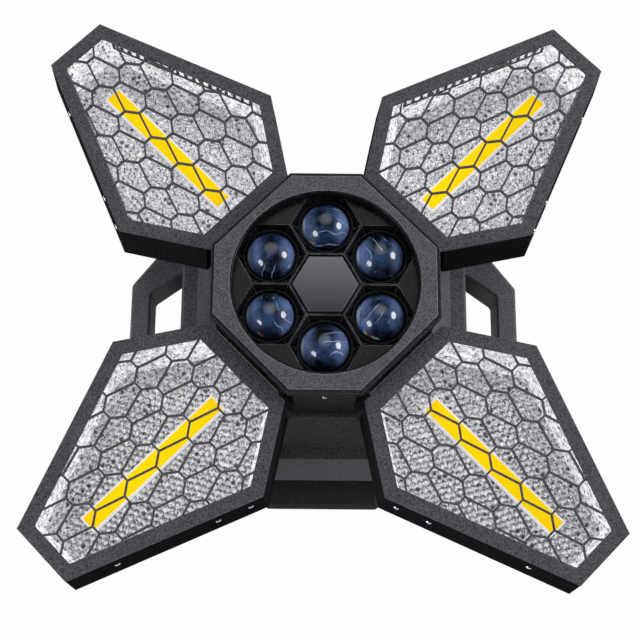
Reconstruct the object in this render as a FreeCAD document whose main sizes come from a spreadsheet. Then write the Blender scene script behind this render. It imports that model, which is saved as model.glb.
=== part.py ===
"""Four-wing effect light, lying on its base with the head facing up.

The head is an octagonal pod with six dome lenses round a hexagonal hub. Four
strobe wings hinge on its diagonal sides, and the pod stands on a base box with
two loop handles. Millimetres, +Z up, the origin under the middle of the base on
the surface that the rubber feet stand on, -Y the front, +X the right.
"""
import FreeCAD, Part
import math
import os
import Sketcher
from FreeCAD import Placement, Rotation, Vector

# Driving dimensions, in millimetres and degrees. Each is one cell of the sheet.
DIMENSIONS = {
    # Feet and base plate
    "foot_height": 8.0,
    "foot_radius": 13.0,
    "foot_top_radius": 15.0,
    "foot_inset": 24.0,
    "plate_thickness": 3.0,
    "lug_half_width": 66.0,
    "lug_reach": 198.0,
    "lug_height": 9.0,
    "lug_corner": 6.0,
    "lug_bevel": 4.5,
    "clamp_spacing_x": 106.0,
    "clamp_spacing_y": 90.0,
    "clamp_hole_radius": 4.5,
    # Base box
    "base_half_x": 160.0,
    "base_half_y": 166.0,
    "brow_half_y": 172.0,
    "deck_half_y": 156.0,
    "brow_height": 53.0,
    "brow_drop": 4.0,
    "base_height": 101.0,
    "deck_edge": 2.5,
    "base_wall": 3.0,
    # Turret under the pod
    "turret_height": 40.0,
    "turret_foot_half": 142.0,
    "turret_foot_flat": 150.0,
    "turret_top_half": 117.0,
    "turret_top_flat": 106.0,
    "cable_hole_radius": 38.0,
    # Loop handles
    "handle_reach": 217.0,
    "handle_straight_half": 41.5,
    "handle_root_half": 114.0,
    "handle_bottom": 54.0,
    "handle_depth": 50.0,
    "handle_bar": 21.5,
    "grip_hole_outer_half": 32.0,
    "grip_hole_root_half": 58.0,
    "grip_round": 7.0,
    "handle_edge": 2.0,
    # Pod housing and bezel
    "pod_height": 110.0,
    "rim_half": 115.0,
    "rim_flat": 107.3,
    "rim_drop": 1.5,
    "rim_height": 12.0,
    "pod_half": 113.0,
    "pod_flat": 102.0,
    "pod_wall": 3.0,
    "bezel_thickness": 6.0,
    "bezel_rim": 3.5,
    "seam_gap": 0.7,
    "mouth_radius": 96.0,
    "skirt_wall": 2.0,
    "skirt_depth": 13.0,
    "shelf_depth": 40.0,
    "shelf_thickness": 4.0,
    "shelf_radius": 80.0,
    "intake_radius": 50.0,
    "vent_width": 4.0,
    "vent_height": 26.0,
    "vent_pitch": 9.0,
    # Lens plate, hub and lenses
    "lens_plate_thickness": 15.0,
    "lens_circle": 64.0,
    "lens_radius": 24.6,
    "lens_height": 23.8,
    "lens_flange": 27.0,
    "lens_flange_thickness": 2.0,
    "cell_radius": 36.0,
    "cell_foot_radius": 30.0,
    "cell_depth": 11.0,
    "hub_radius": 33.6,
    "hub_height": 9.0,
    "hub_bevel": 1.0,
    "hub_well_radius": 36.1,
    "hub_well_depth": 8.0,
    # Light engine
    "led_board_radius": 92.0,
    "led_board_thickness": 2.0,
    "emitter_half": 5.0,
    "emitter_height": 1.2,
    "sink_radius": 92.0,
    "sink_base": 6.0,
    "fin_radius": 76.0,
    "fin_thickness": 2.0,
    "fin_pitch": 12.0,
    # Cooling fan
    "fan_half": 60.0,
    "fan_height": 22.0,
    "fan_bore": 57.0,
    "fan_boss": 19.0,
    "fan_strut": 6.0,
    "fan_floor": 3.0,
    "shaft_radius": 3.0,
    "rotor_hub": 20.0,
    "rotor_height": 16.0,
    "blade_radius": 55.5,
    "blade_thickness": 2.0,
    "blade_angle": 38.0,
    # Wings
    "wing_drop": 24.0,
    "wing_inner_reach": 111.2,
    "wing_inner_half": 55.4,
    "wing_shoulder_reach": 81.0,
    "wing_shoulder_half": 108.5,
    "wing_reach": 271.0,
    "wing_tip_half": 35.0,
    "wing_depth": 60.5,
    "wing_flare": 4.0,
    "wing_wall": 3.0,
    "hinge_recess": 4.0,
    "frame_thickness": 3.0,
    "frame_border": 14.0,
    "frame_inner_border": 16.5,
    "lip_wall": 1.6,
    "lip_depth": 5.0,
    # Honeycomb grille of a wing
    "rib_width": 2.0,
    "column_pitch": 19.2,
    "cell_pitch": 41.4,
    "cell_edge_half": 5.0,
    "cell_rise": 12.2,
    "cell_start": 40.0,
    "least_window": 3.0,
    # Reflector tray and light bar of a wing
    "reflector_wall": 1.5,
    "hinge_slope": 15.0,
    "shoulder_slope": 15.0,
    "long_slope": 4.0,
    "tip_slope": 8.0,
    "bar_start": 43.0,
    "bar_length": 181.0,
    "bar_width": 21.0,
    "bar_height": 6.0,
    "bar_bevel": 1.5,
    # Wing hinges
    "hinge_gap": 2.0,
    "hinge_length": 90.0,
    "knuckle_radius": 3.3,
    "knuckle_gap": 0.4,
    "web_step": 1.0,
    "pin_radius": 1.5,
    "pin_fit": 0.02,
    "pin_play": 0.06,
    "leaf_thickness": 1.5,
    "leaf_height": 24.0,
    "stop_height": 12.0,
    "stop_half": 16.0,
    # Electronics in the base
    "supply_length": 190.0,
    "supply_width": 84.0,
    "supply_place": 102.0,
    "supply_height": 42.0,
    "supply_step": 14.0,
    "board_height": 42.0,
    "board_thickness": 1.6,
    "board_standoff": 13.0,
    "standoff_radius": 3.0,
    "switch_radius": 3.0,
    "window_half_width": 25.0,
    "window_half_height": 12.0,
    "window_lip": 2.5,
    "panel_height": 34.0,
    "button_radius": 4.5,
    "button_proud": 2.5,
    "button_travel": 1.0,
    "button_flange": 1.5,
    "button_rim": 1.0,
    # Sockets in the back wall
    "socket_radius": 12.0,
    "socket_cavity": 9.5,
    "socket_depth": 16.0,
    "socket_flange_half": 14.0,
    "socket_flange": 2.5,
    "socket_pin_radius": 1.2,
    "socket_pin_circle": 6.0,
    "fuse_radius": 7.0,
    "fuse_cap": 8.5,
    "fuse_cap_height": 6.0,
    # Shared clearances
    "seat_gap": 0.2,
    "slide_gap": 0.3,
    "part_gap": 0.5,
}
PLATE_VENT_COUNT = 9
POD_VENT_COUNT = 7
BLADE_COUNT = 7
LENS_COUNT = 6
FAN_STRUTS = 4
HINGE_KNUCKLES = 5
# Places along the back wall, and of the plate's vents, as shares of the base's half width
PANEL_SHARES = {
    "display": -0.1625,
    "first_button": 0.0875,
    "button_step": 0.0875,
    "fuse": 0.447,
    "signal": 0.4875,
    "power": 0.6125,
    "socket_step": 0.2125,
    "board": 0.4125,
    "plate_vents": 0.675,
}
WING_ANGLES = {
    "back_right": 45.0,
    "back_left": 135.0,
    "front_left": 225.0,
    "front_right": 315.0,
}
BUTTON_NAMES = ("menu", "down", "up", "enter")

DOC = FreeCAD.newDocument("effect_light")
SHEET = DOC.addObject("Spreadsheet::Sheet", "sizes")
NODES = []


class Size:
    """A length that knows both its value now and the expression that drives it."""

    def __init__(self, value, text):
        self.value = value
        self.text = text

    def __float__(self):
        return float(self.value)

    def __neg__(self):
        return Size(-self.value, f"-({self.text})")

    def __add__(self, other):
        other = as_size(other)
        return Size(self.value + other.value, f"({self.text} + {other.text})")

    def __sub__(self, other):
        other = as_size(other)
        return Size(self.value - other.value, f"({self.text} - {other.text})")

    def __mul__(self, other):
        other = as_size(other)
        return Size(self.value * other.value, f"({self.text} * {other.text})")

    def __truediv__(self, other):
        other = as_size(other)
        return Size(self.value / other.value, f"({self.text} / {other.text})")

    __radd__ = __add__
    __rmul__ = __mul__


def as_size(number):
    return number if isinstance(number, Size) else Size(float(number), f"({float(number)!r})")


class Sizes:
    """The driving dimensions by name, each written into its own cell of the sheet."""

    def __init__(self, table):
        for row, (name, value) in enumerate(table.items(), start=1):
            SHEET.set(f"A{row}", name)
            SHEET.set(f"B{row}", str(value))
            SHEET.setAlias(f"B{row}", name)
            setattr(self, name, Size(value, f"sizes.{name}"))


S = Sizes(DIMENSIONS)
DOC.recompute()

ZERO = as_size(0)
ROOT_TWO = math.sqrt(2.0)
EDGE_TOLERANCE = 0.05

# Levels and places that follow from the driving dimensions
PLATE_TOP = S.foot_height + S.plate_thickness
BROW_LEVEL = PLATE_TOP + S.brow_height
DECK_LEVEL = PLATE_TOP + S.base_height
POD_FLOOR = DECK_LEVEL + S.turret_height
FACE = POD_FLOOR + S.pod_height
RIM_TOP = FACE - S.rim_drop
RIM_BOTTOM = RIM_TOP - S.rim_height
BEZEL_SEAT = FACE - S.bezel_thickness
LENS_PLATE_TOP = FACE - S.skirt_depth
LENS_PLATE_BOTTOM = LENS_PLATE_TOP - S.lens_plate_thickness
LENS_SEAT = LENS_PLATE_TOP - S.cell_depth
HUB_SEAT = LENS_PLATE_TOP - S.hub_well_depth
SHELF_TOP = FACE - S.shelf_depth
SINK_TOP = SHELF_TOP + S.sink_base
LED_TOP = SINK_TOP + S.led_board_thickness
FAN_BOTTOM = POD_FLOOR + S.pod_wall
FAN_TOP = FAN_BOTTOM + S.fan_height
WING_FRONT = FACE - S.wing_drop
SHELL_TOP = WING_FRONT - S.frame_thickness
WING_BACK = WING_FRONT - S.wing_depth
WING_FLOOR = WING_BACK + S.wing_wall
HINGE_LEVEL = SHELL_TOP - S.knuckle_radius - S.knuckle_gap
HINGE_REACH = S.rim_flat + S.hinge_gap
PANEL_LEVEL = S.panel_height
GRIP_REACH = S.handle_reach - S.handle_bar


# ---------------------------------------------------------------- modelling helpers

def bind(item, path, size):
    item.setExpression(path, as_size(size).text)


def node(item, label):
    """Names a finished sub-part and puts it on the list of pieces to write."""
    item.Label = label
    NODES.append(item)
    return item


def new_body(label):
    return node(DOC.addObject("PartDesign::Body", label), label)


def new_pattern(name):
    """A piece drawn once along +X, of which placed copies are the finished sub-parts."""
    return DOC.addObject("PartDesign::Body", name)


def origin_plane(body, role):
    return next(item for item in body.Origin.OriginFeatures if item.Role == role)


def sketch(body, plane, lift=None, loops=(), circles=()):
    """A sketch on one of the body's planes whose corners and circles follow the sheet."""
    if body is None:
        profile = DOC.addObject("Sketcher::SketchObject", "outline")
    else:
        profile = body.newObject("Sketcher::SketchObject", "profile")
        profile.AttachmentSupport = [(origin_plane(body, plane), "")]
        profile.MapMode = "FlatFace"
    if lift is not None:
        bind(profile, "AttachmentOffset.Base.z" if body else "Placement.Base.z", lift)
    shapes = []
    rules = []
    drivers = []

    def fix(kind, edge, end, size):
        drivers.append((len(rules), size))
        rules.append(Sketcher.Constraint(kind, edge, end, float(size)))

    for corners in loops:
        first = len(shapes)
        count = len(corners)
        for index, (x, y) in enumerate(corners):
            next_x, next_y = corners[(index + 1) % count]
            start = Vector(float(x), float(y), 0)
            shapes.append(Part.LineSegment(start, Vector(float(next_x), float(next_y), 0)))
            rules.append(Sketcher.Constraint("Coincident", first + index, 2, first + (index + 1) % count, 1))
            fix("DistanceX", first + index, 1, as_size(x))
            fix("DistanceY", first + index, 1, as_size(y))
    for x, y, radius in circles:
        edge = len(shapes)
        shapes.append(Part.Circle(Vector(float(x), float(y), 0), Vector(0, 0, 1), float(radius)))
        fix("DistanceX", edge, 3, as_size(x))
        fix("DistanceY", edge, 3, as_size(y))
        rules.append(Sketcher.Constraint("Radius", edge, float(radius)))
        drivers.append((len(rules) - 1, as_size(radius)))
    profile.addGeometry(shapes)
    profile.addConstraint(rules)
    for index, size in drivers:
        bind(profile, f"Constraints[{index}]", size)
    return profile


def pad(body, profile, length, reverse=False, middle=False):
    feature = body.newObject("PartDesign::Pad", "pad")
    feature.Profile = profile
    feature.Reversed = reverse
    if middle:
        feature.SideType = "Symmetric"
    bind(feature, "Length", length)
    return feature


def pocket(body, profile, depth=None, reverse=False, middle=False):
    """Cuts against the sketch's normal, or along it when reversed; no depth cuts right through."""
    feature = body.newObject("PartDesign::Pocket", "pocket")
    feature.Profile = profile
    feature.Reversed = reverse
    if middle:
        feature.SideType = "Symmetric"
    if depth is None:
        feature.Type = "ThroughAll"
    else:
        bind(feature, "Length", depth)
    return feature


def loft(body, lower, upper, cut=False):
    feature = body.newObject("PartDesign::SubtractiveLoft" if cut else "PartDesign::AdditiveLoft", "loft")
    feature.Profile = lower
    feature.Sections = [upper]
    feature.Ruled = True
    return feature


def around(body, originals, count):
    """Repeats features evenly round the body's Z axis."""
    feature = body.newObject("PartDesign::PolarPattern", "ring")
    feature.Originals = originals
    feature.Axis = (origin_plane(body, "Z_Axis"), [""])
    feature.Angle = 360.0
    feature.Occurrences = count
    body.Tip = feature
    return feature


def dress(body, kind, edges, size, path):
    """Rounds or bevels the edges that a test picks out of the body's present shape."""
    DOC.recompute()
    tip = body.Tip
    names = [f"Edge{index}" for index, edge in enumerate(tip.Shape.Edges, start=1) if edges(edge)]
    feature = body.newObject(kind, "edges")
    feature.Base = (tip, names)
    bind(feature, path, size)
    return feature


def fillet(body, edges, radius):
    return dress(body, "PartDesign::Fillet", edges, radius, "Radius")


def chamfer(body, edges, width):
    return dress(body, "PartDesign::Chamfer", edges, width, "Size")


def upright(edge):
    """True for an edge that runs straight along Z."""
    direction = edge.Vertexes[-1].Point - edge.Vertexes[0].Point
    return abs(direction.z) > 0.999 * direction.Length > 0


def at_level(level):
    """A test for edges that lie wholly in one horizontal plane."""
    height = float(level)
    return lambda edge: level_of(edge, height)


def level_of(edge, height):
    return max(abs(edge.BoundBox.ZMax - height), abs(edge.BoundBox.ZMin - height)) < EDGE_TOLERANCE


def outermost(edge, reach):
    """True for an edge that touches a distance out to the front or the back."""
    return max(abs(edge.BoundBox.YMax), abs(edge.BoundBox.YMin)) > float(reach) - EDGE_TOLERANCE


def rectangle(half_x, half_y, x=ZERO, y=ZERO):
    left, right, low, high = x - half_x, x + half_x, y - half_y, y + half_y
    return [(left, low), (right, low), (right, high), (left, high)]


def octagon(half, flat):
    """Corners of an octagon with its square sides at half and its diagonal sides at flat."""
    edge = flat * ROOT_TWO - half
    return [(half, -edge), (half, edge), (edge, half), (-edge, half),
            (-half, edge), (-half, -edge), (-edge, -half), (edge, -half)]


def hexagon(radius, x=ZERO, y=ZERO):
    corners = []
    for step in range(6):
        angle = math.radians(60.0 * step)
        corners.append((x + radius * math.cos(angle), y + radius * math.sin(angle)))
    return corners


def place(item, reach, angle):
    """Turns a piece modelled along +X to a direction, and moves it out along that direction."""
    item.Placement = Placement(Vector(), Rotation(Vector(0, 0, 1), angle))
    bind(item, "Placement.Base.x", as_size(reach) * math.cos(math.radians(angle)))
    bind(item, "Placement.Base.y", as_size(reach) * math.sin(math.radians(angle)))
    return item


def placed(pattern, label, reach, angle):
    """One finished piece of a repeated pattern, turned to a direction and moved out along it."""
    copy = DOC.addObject("Part::Compound", label)
    copy.Links = [pattern]
    return node(place(copy, reach, angle), label)


# ---------------------------------------------------------------- base

def make_feet():
    feet = []
    for side_x in (-1, 1):
        for side_y in (-1, 1):
            foot = DOC.addObject("Part::Cone", "foot")
            bind(foot, "Radius1", S.foot_radius)
            bind(foot, "Radius2", S.foot_top_radius)
            bind(foot, "Height", S.foot_height)
            bind(foot, "Placement.Base.x", (S.base_half_x - S.foot_inset) * side_x)
            bind(foot, "Placement.Base.y", (S.base_half_y - S.foot_inset) * side_y)
            feet.append(foot)
    group = DOC.addObject("Part::Compound", "feet")
    group.Links = feet
    node(group, "feet")


def make_base_plate():
    body = new_body("base_plate")
    sheet = sketch(body, "XY_Plane", S.foot_height, [rectangle(S.base_half_x, S.base_half_y)])
    pad(body, sheet, S.plate_thickness)
    lug_half = (S.lug_reach - S.base_half_y) / 2
    for side in (-1, 1):
        middle = (S.base_half_y + lug_half) * side
        lug = sketch(body, "XY_Plane", S.foot_height, [rectangle(S.lug_half_width, lug_half, y=middle)])
        pad(body, lug, S.lug_height)
    fillet(body, lambda edge: upright(edge) and outermost(edge, S.lug_reach), S.lug_corner)
    top = at_level(S.foot_height + S.lug_height)
    chamfer(body, lambda edge: top(edge) and outermost(edge, S.lug_reach), S.lug_bevel)
    holes = [(S.clamp_spacing_x / 2 * side_x, S.clamp_spacing_y / 2 * side_y, S.clamp_hole_radius)
             for side_x in (-1, 1) for side_y in (-1, 1)]
    pocket(body, sketch(body, "XY_Plane", PLATE_TOP, circles=holes))
    slots = []
    for index in range(PLATE_VENT_COUNT):
        along = S.vent_pitch * (index - (PLATE_VENT_COUNT - 1) / 2)
        for side in (-1, 1):
            middle = panel_place("plate_vents") * side
            slots.append(rectangle(S.vent_width / 2, S.vent_height, along + middle))
    pocket(body, sketch(body, "XY_Plane", PLATE_TOP, slots))


def base_profile(wall):
    """Half section of the base box across Y, drawn in by a wall thickness."""
    side = [(S.base_half_y - wall, PLATE_TOP),
            (S.base_half_y - wall, BROW_LEVEL - S.brow_drop - wall),
            (S.brow_half_y - wall, BROW_LEVEL),
            (S.deck_half_y - wall, DECK_LEVEL - wall)]
    return side + [(-y, z) for y, z in reversed(side)]


def make_base_cover():
    body = new_body("base_cover")
    pad(body, sketch(body, "YZ_Plane", None, [base_profile(ZERO)]), S.base_half_x * 2, middle=True)
    hollow = sketch(body, "YZ_Plane", None, [base_profile(S.base_wall)])
    pocket(body, hollow, (S.base_half_x - S.base_wall) * 2, middle=True)
    deck = at_level(DECK_LEVEL)
    wall = float(S.base_half_x) - EDGE_TOLERANCE
    chamfer(body, lambda edge: deck(edge) and abs(edge.CenterOfMass.x) > wall, S.deck_edge)
    foot = sketch(body, "XY_Plane", DECK_LEVEL, [octagon(S.turret_foot_half, S.turret_foot_flat)])
    top = sketch(body, "XY_Plane", POD_FLOOR, [octagon(S.turret_top_half, S.turret_top_flat)])
    loft(body, foot, top)
    inner_foot = sketch(body, "XY_Plane", DECK_LEVEL - S.base_wall,
                        [octagon(S.turret_foot_half - S.base_wall, S.turret_foot_flat - S.base_wall)])
    inner_top = sketch(body, "XY_Plane", POD_FLOOR - S.base_wall,
                       [octagon(S.turret_top_half - S.base_wall, S.turret_top_flat - S.base_wall)])
    loft(body, inner_foot, inner_top, cut=True)
    cable_hole = sketch(body, "XY_Plane", POD_FLOOR, circles=[(ZERO, ZERO, S.cable_hole_radius)])
    pocket(body, cable_hole, S.base_wall * 2)
    openings = [rectangle(S.window_half_width + S.seat_gap, S.window_half_height + S.seat_gap,
                          panel_place("display"), PANEL_LEVEL)]
    rounds = [(x, PANEL_LEVEL, S.button_radius + S.slide_gap) for x in button_places()]
    rounds += [(x, PANEL_LEVEL, S.socket_radius + S.slide_gap) for x in socket_places()]
    rounds.append((panel_place("fuse"), PANEL_LEVEL, S.fuse_radius + S.slide_gap))
    panel = sketch(body, "XZ_Plane", -(S.base_half_y + S.part_gap), openings, rounds)
    pocket(body, panel, S.base_wall + S.part_gap * 2, reverse=True)
    return body


def panel_place(name):
    return S.base_half_x * PANEL_SHARES[name]


def button_places():
    first, step = panel_place("first_button"), panel_place("button_step")
    return [first + step * index for index in range(len(BUTTON_NAMES))]


def socket_places():
    """The four sockets along the back wall, signal on the -X side and power on the +X side."""
    step = panel_place("socket_step")
    signal = -panel_place("signal")
    power = panel_place("power")
    return [signal - step, signal, power, power + step]


def make_handles():
    """Loop handles: a cranked bar round a finger gap, its two roots flat on the side wall."""
    body = new_pattern("handle")
    outline = [(S.base_half_x, -S.handle_root_half), (S.handle_reach, -S.handle_straight_half),
               (S.handle_reach, S.handle_straight_half), (S.base_half_x, S.handle_root_half),
               (S.base_half_x, S.grip_hole_root_half), (GRIP_REACH, S.grip_hole_outer_half),
               (GRIP_REACH, -S.grip_hole_outer_half), (S.base_half_x, -S.grip_hole_root_half)]
    pad(body, sketch(body, "XY_Plane", S.handle_bottom, [outline]), S.handle_depth)
    for reach in (GRIP_REACH, S.handle_reach):
        bend = float(reach)
        fillet(body, lambda edge: upright(edge) and abs(edge.BoundBox.XMax - bend) < EDGE_TOLERANCE,
               S.grip_round)
    rim = at_level(S.handle_bottom + S.handle_depth)
    wall = float(S.base_half_x) + EDGE_TOLERANCE
    chamfer(body, lambda edge: rim(edge) and edge.BoundBox.XMax > wall, S.handle_edge)
    placed(body, "handle_right", ZERO, 0)
    placed(body, "handle_left", ZERO, 180)


def make_power_supply():
    """Enclosed supply on the base plate with a lower terminal step at one end."""
    body = new_body("power_supply")
    pad(body, sketch(body, "XY_Plane", PLATE_TOP, [rectangle(S.supply_length / 2, S.supply_width / 2)]),
        S.supply_height / 2)
    case = rectangle((S.supply_length - S.supply_step) / 2, S.supply_width / 2, S.supply_step / 2)
    pad(body, sketch(body, "XY_Plane", PLATE_TOP + S.supply_height / 2, [case]), S.supply_height / 2)
    place(body, ZERO, 0)
    bind(body, "Placement.Base.y", -S.supply_place)


# ---------------------------------------------------------------- control panel

def make_control_board():
    """Board behind the back wall on four standoffs, with a switch behind each button."""
    body = new_body("control_board")
    wall = S.base_half_y - S.base_wall
    face = wall - S.board_standoff
    half_width = panel_place("board")
    board = rectangle(half_width, S.board_height / 2, y=PANEL_LEVEL)
    pad(body, sketch(body, "XZ_Plane", -(face - S.board_thickness), [board]), S.board_thickness, reverse=True)
    inset = S.standoff_radius * 2
    posts = [((half_width - inset) * side_x, PANEL_LEVEL + (S.board_height / 2 - inset) * side_z,
              S.standoff_radius) for side_x in (-1, 1) for side_z in (-1, 1)]
    pad(body, sketch(body, "XZ_Plane", -face, circles=posts), S.board_standoff, reverse=True)
    plungers = [(x, PANEL_LEVEL, S.switch_radius) for x in button_places()]
    reach = S.board_standoff - S.button_flange - S.seat_gap - S.button_travel - S.slide_gap
    pad(body, sketch(body, "XZ_Plane", -face, circles=plungers), reach, reverse=True)


def make_display_window():
    body = new_body("display_window")
    inner = S.base_half_y - S.base_wall
    middle = panel_place("display")
    pane = rectangle(S.window_half_width, S.window_half_height, middle, PANEL_LEVEL)
    lip = rectangle(S.window_half_width + S.window_lip, S.window_half_height + S.window_lip, middle,
                    PANEL_LEVEL)
    pad(body, sketch(body, "XZ_Plane", -inner, [lip]), S.window_lip / 2)
    pad(body, sketch(body, "XZ_Plane", -inner, [pane]), S.base_wall, reverse=True)


def make_button(name, x):
    """Push button: a stem through the wall and a flange that keeps it in."""
    body = new_body(f"button_{name}")
    inner = S.base_half_y - S.base_wall - S.seat_gap
    stem = sketch(body, "XZ_Plane", -inner, circles=[(x, PANEL_LEVEL, S.button_radius)])
    pad(body, stem, S.base_wall + S.seat_gap + S.button_proud, reverse=True)
    flange = sketch(body, "XZ_Plane", -inner, circles=[(x, PANEL_LEVEL, S.button_radius + S.button_rim)])
    pad(body, flange, S.button_flange)


# ---------------------------------------------------------------- sockets

def make_socket(label, x, male):
    """Round chassis socket with a square flange outside the wall, pins or holes in its well."""
    body = new_body(label)
    outer = S.base_half_y
    flange = rectangle(S.socket_flange_half, S.socket_flange_half, x, PANEL_LEVEL)
    pad(body, sketch(body, "XZ_Plane", -outer, [flange]), S.socket_flange, reverse=True)
    barrel = sketch(body, "XZ_Plane", -outer, circles=[(x, PANEL_LEVEL, S.socket_radius)])
    pad(body, barrel, S.socket_depth)
    mouth = -(outer + S.socket_flange)
    contacts = []
    for step in range(3):
        angle = math.radians(90.0 + 120.0 * step)
        across = S.socket_pin_circle * math.cos(angle)
        up = S.socket_pin_circle * math.sin(angle)
        contacts.append((x + across, PANEL_LEVEL + up, S.socket_pin_radius))
    if male:
        well = sketch(body, "XZ_Plane", mouth, circles=[(x, PANEL_LEVEL, S.socket_cavity)])
        pocket(body, well, S.socket_depth, reverse=True)
        pins = sketch(body, "XZ_Plane", mouth + S.socket_depth, circles=contacts)
        pad(body, pins, S.socket_depth - S.socket_flange, reverse=True)
    else:
        pocket(body, sketch(body, "XZ_Plane", mouth, circles=contacts), S.socket_depth, reverse=True)


def make_fuse_holder():
    body = new_body("fuse_holder")
    outer = S.base_half_y
    x = panel_place("fuse")
    cap = sketch(body, "XZ_Plane", -outer, circles=[(x, PANEL_LEVEL, S.fuse_cap)])
    pad(body, cap, S.fuse_cap_height, reverse=True)
    pad(body, sketch(body, "XZ_Plane", -outer, circles=[(x, PANEL_LEVEL, S.fuse_radius)]), S.board_standoff)


# ---------------------------------------------------------------- pod

def make_pod_housing():
    """Octagonal tub with a wider rim, a shelf for the heat sink and a stop block under each wing."""
    body = new_body("pod_housing")
    plan = sketch(body, "XY_Plane", POD_FLOOR, [octagon(S.pod_half, S.pod_flat)])
    pad(body, plan, S.pod_height - S.rim_drop)
    pad(body, sketch(body, "XY_Plane", RIM_BOTTOM, [octagon(S.rim_half, S.rim_flat)]), S.rim_height)
    stop_reach = S.wing_inner_reach + S.hinge_recess - S.slide_gap
    stop_bottom = WING_BACK + S.wing_wall
    block = [(ZERO, stop_bottom), (stop_reach, stop_bottom), (stop_reach, stop_bottom + S.stop_height),
             (ZERO, stop_bottom + S.stop_height)]
    for angle in WING_ANGLES.values():
        stop = sketch(body, "XZ_Plane", None, [block])
        stop.AttachmentOffset = Placement(Vector(), Rotation(Vector(0, 1, 0), angle))
        pad(body, stop, S.stop_half * 2, middle=True)
    seat = S.bezel_rim - S.seam_gap
    pocket(body, sketch(body, "XY_Plane", RIM_TOP, [octagon(S.rim_half - seat, S.rim_flat - seat)]),
           S.bezel_thickness - S.rim_drop)
    bore = octagon(S.pod_half - S.pod_wall, S.pod_flat - S.pod_wall)
    pocket(body, sketch(body, "XY_Plane", BEZEL_SEAT, [bore]), S.shelf_depth - S.bezel_thickness)
    shelf_hole = sketch(body, "XY_Plane", SHELF_TOP, circles=[(ZERO, ZERO, S.shelf_radius)])
    pocket(body, shelf_hole, S.shelf_thickness)
    below = SHELF_TOP - S.shelf_thickness
    pocket(body, sketch(body, "XY_Plane", below, [bore]), below - POD_FLOOR - S.pod_wall)
    pocket(body, sketch(body, "XY_Plane", POD_FLOOR + S.pod_wall, circles=[(ZERO, ZERO, S.intake_radius)]),
           S.pod_wall * 2)
    slots = []
    for index in range(POD_VENT_COUNT):
        along = S.vent_pitch * (index - (POD_VENT_COUNT - 1) / 2)
        slots.append(rectangle(S.vent_width / 2, S.vent_height / 2, along, POD_FLOOR + S.vent_height))
    pocket(body, sketch(body, "XZ_Plane", -(S.pod_half + S.part_gap), slots), S.pod_wall * 3, reverse=True)


def make_pod_bezel():
    """Front ring: an octagonal plate with a round mouth and a skirt down to the lens plate."""
    body = new_body("pod_bezel")
    half = S.rim_half - S.bezel_rim
    flat = S.rim_flat - S.bezel_rim
    pad(body, sketch(body, "XY_Plane", BEZEL_SEAT, [octagon(half, flat)]), S.bezel_thickness)
    skirt = sketch(body, "XY_Plane", LENS_PLATE_TOP, circles=[(ZERO, ZERO, S.mouth_radius + S.skirt_wall)])
    pad(body, skirt, S.skirt_depth - S.bezel_thickness)
    pocket(body, sketch(body, "XY_Plane", FACE, circles=[(ZERO, ZERO, S.mouth_radius)]))


def make_lens_plate():
    """Thick black plate under the bezel: six hexagonal wells with sloping facets, and one for the hub."""
    body = new_body("lens_plate")
    disc = sketch(body, "XY_Plane", LENS_PLATE_BOTTOM, circles=[(ZERO, ZERO, S.mouth_radius + S.skirt_wall)])
    pad(body, disc, S.lens_plate_thickness)
    hub_well = sketch(body, "XY_Plane", LENS_PLATE_TOP, [hexagon(S.hub_well_radius)])
    pocket(body, hub_well, S.hub_well_depth)
    foot = sketch(body, "XY_Plane", LENS_SEAT, [hexagon(S.cell_foot_radius, y=S.lens_circle)])
    edge = sketch(body, "XY_Plane", LENS_PLATE_TOP, [hexagon(S.cell_radius, y=S.lens_circle)])
    well = loft(body, foot, edge, cut=True)
    around(body, [well], LENS_COUNT)
    hole = pocket(body, sketch(body, "XY_Plane", LENS_PLATE_TOP,
                               circles=[(ZERO, S.lens_circle, S.lens_radius + S.seat_gap)]))
    around(body, [hole], LENS_COUNT)


def make_hub_cap():
    """Hexagonal cap in the well at the middle of the lens plate, bare on its face."""
    body = new_body("hub_cap")
    pad(body, sketch(body, "XY_Plane", HUB_SEAT, [hexagon(S.hub_radius)]), S.hub_height)
    chamfer(body, at_level(HUB_SEAT + S.hub_height), S.hub_bevel)


def make_lenses():
    """Dome lenses: a flange under the plate, a short barrel in its hole and a half ball above it."""
    body = new_pattern("lens")
    sphere = (S.lens_radius * S.lens_radius + S.lens_height * S.lens_height) / (S.lens_height * 2)
    flange = sketch(body, "XY_Plane", LENS_PLATE_BOTTOM - S.lens_flange_thickness,
                    circles=[(ZERO, ZERO, S.lens_flange)])
    pad(body, flange, S.lens_flange_thickness)
    barrel = sketch(body, "XY_Plane", LENS_PLATE_BOTTOM, circles=[(ZERO, ZERO, S.lens_radius)])
    pad(body, barrel, S.lens_plate_thickness - S.cell_depth)
    ball = body.newObject("PartDesign::AdditiveSphere", "dome")
    bind(ball, "Radius", sphere)
    rise = Size(math.degrees(math.asin(1.0 - float(S.lens_height) / float(sphere))),
                f"asin(1 - {S.lens_height.text} / ({sphere.text}))")
    bind(ball, "Angle1", rise)
    bind(ball, "Placement.Base.z", LENS_SEAT + S.lens_height - sphere)
    for index in range(LENS_COUNT):
        placed(body, f"lens_{index + 1}", S.lens_circle, 90.0 - 360.0 / LENS_COUNT * index)


def make_led_board():
    """Round board on the heat sink with one square emitter under each lens."""
    body = new_body("led_board")
    board = sketch(body, "XY_Plane", SINK_TOP, circles=[(ZERO, ZERO, S.led_board_radius)])
    pad(body, board, S.led_board_thickness)
    square = rectangle(S.emitter_half, S.emitter_half, y=S.lens_circle)
    chip = pad(body, sketch(body, "XY_Plane", LED_TOP, [square]), S.emitter_height)
    around(body, [chip], LENS_COUNT)


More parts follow.
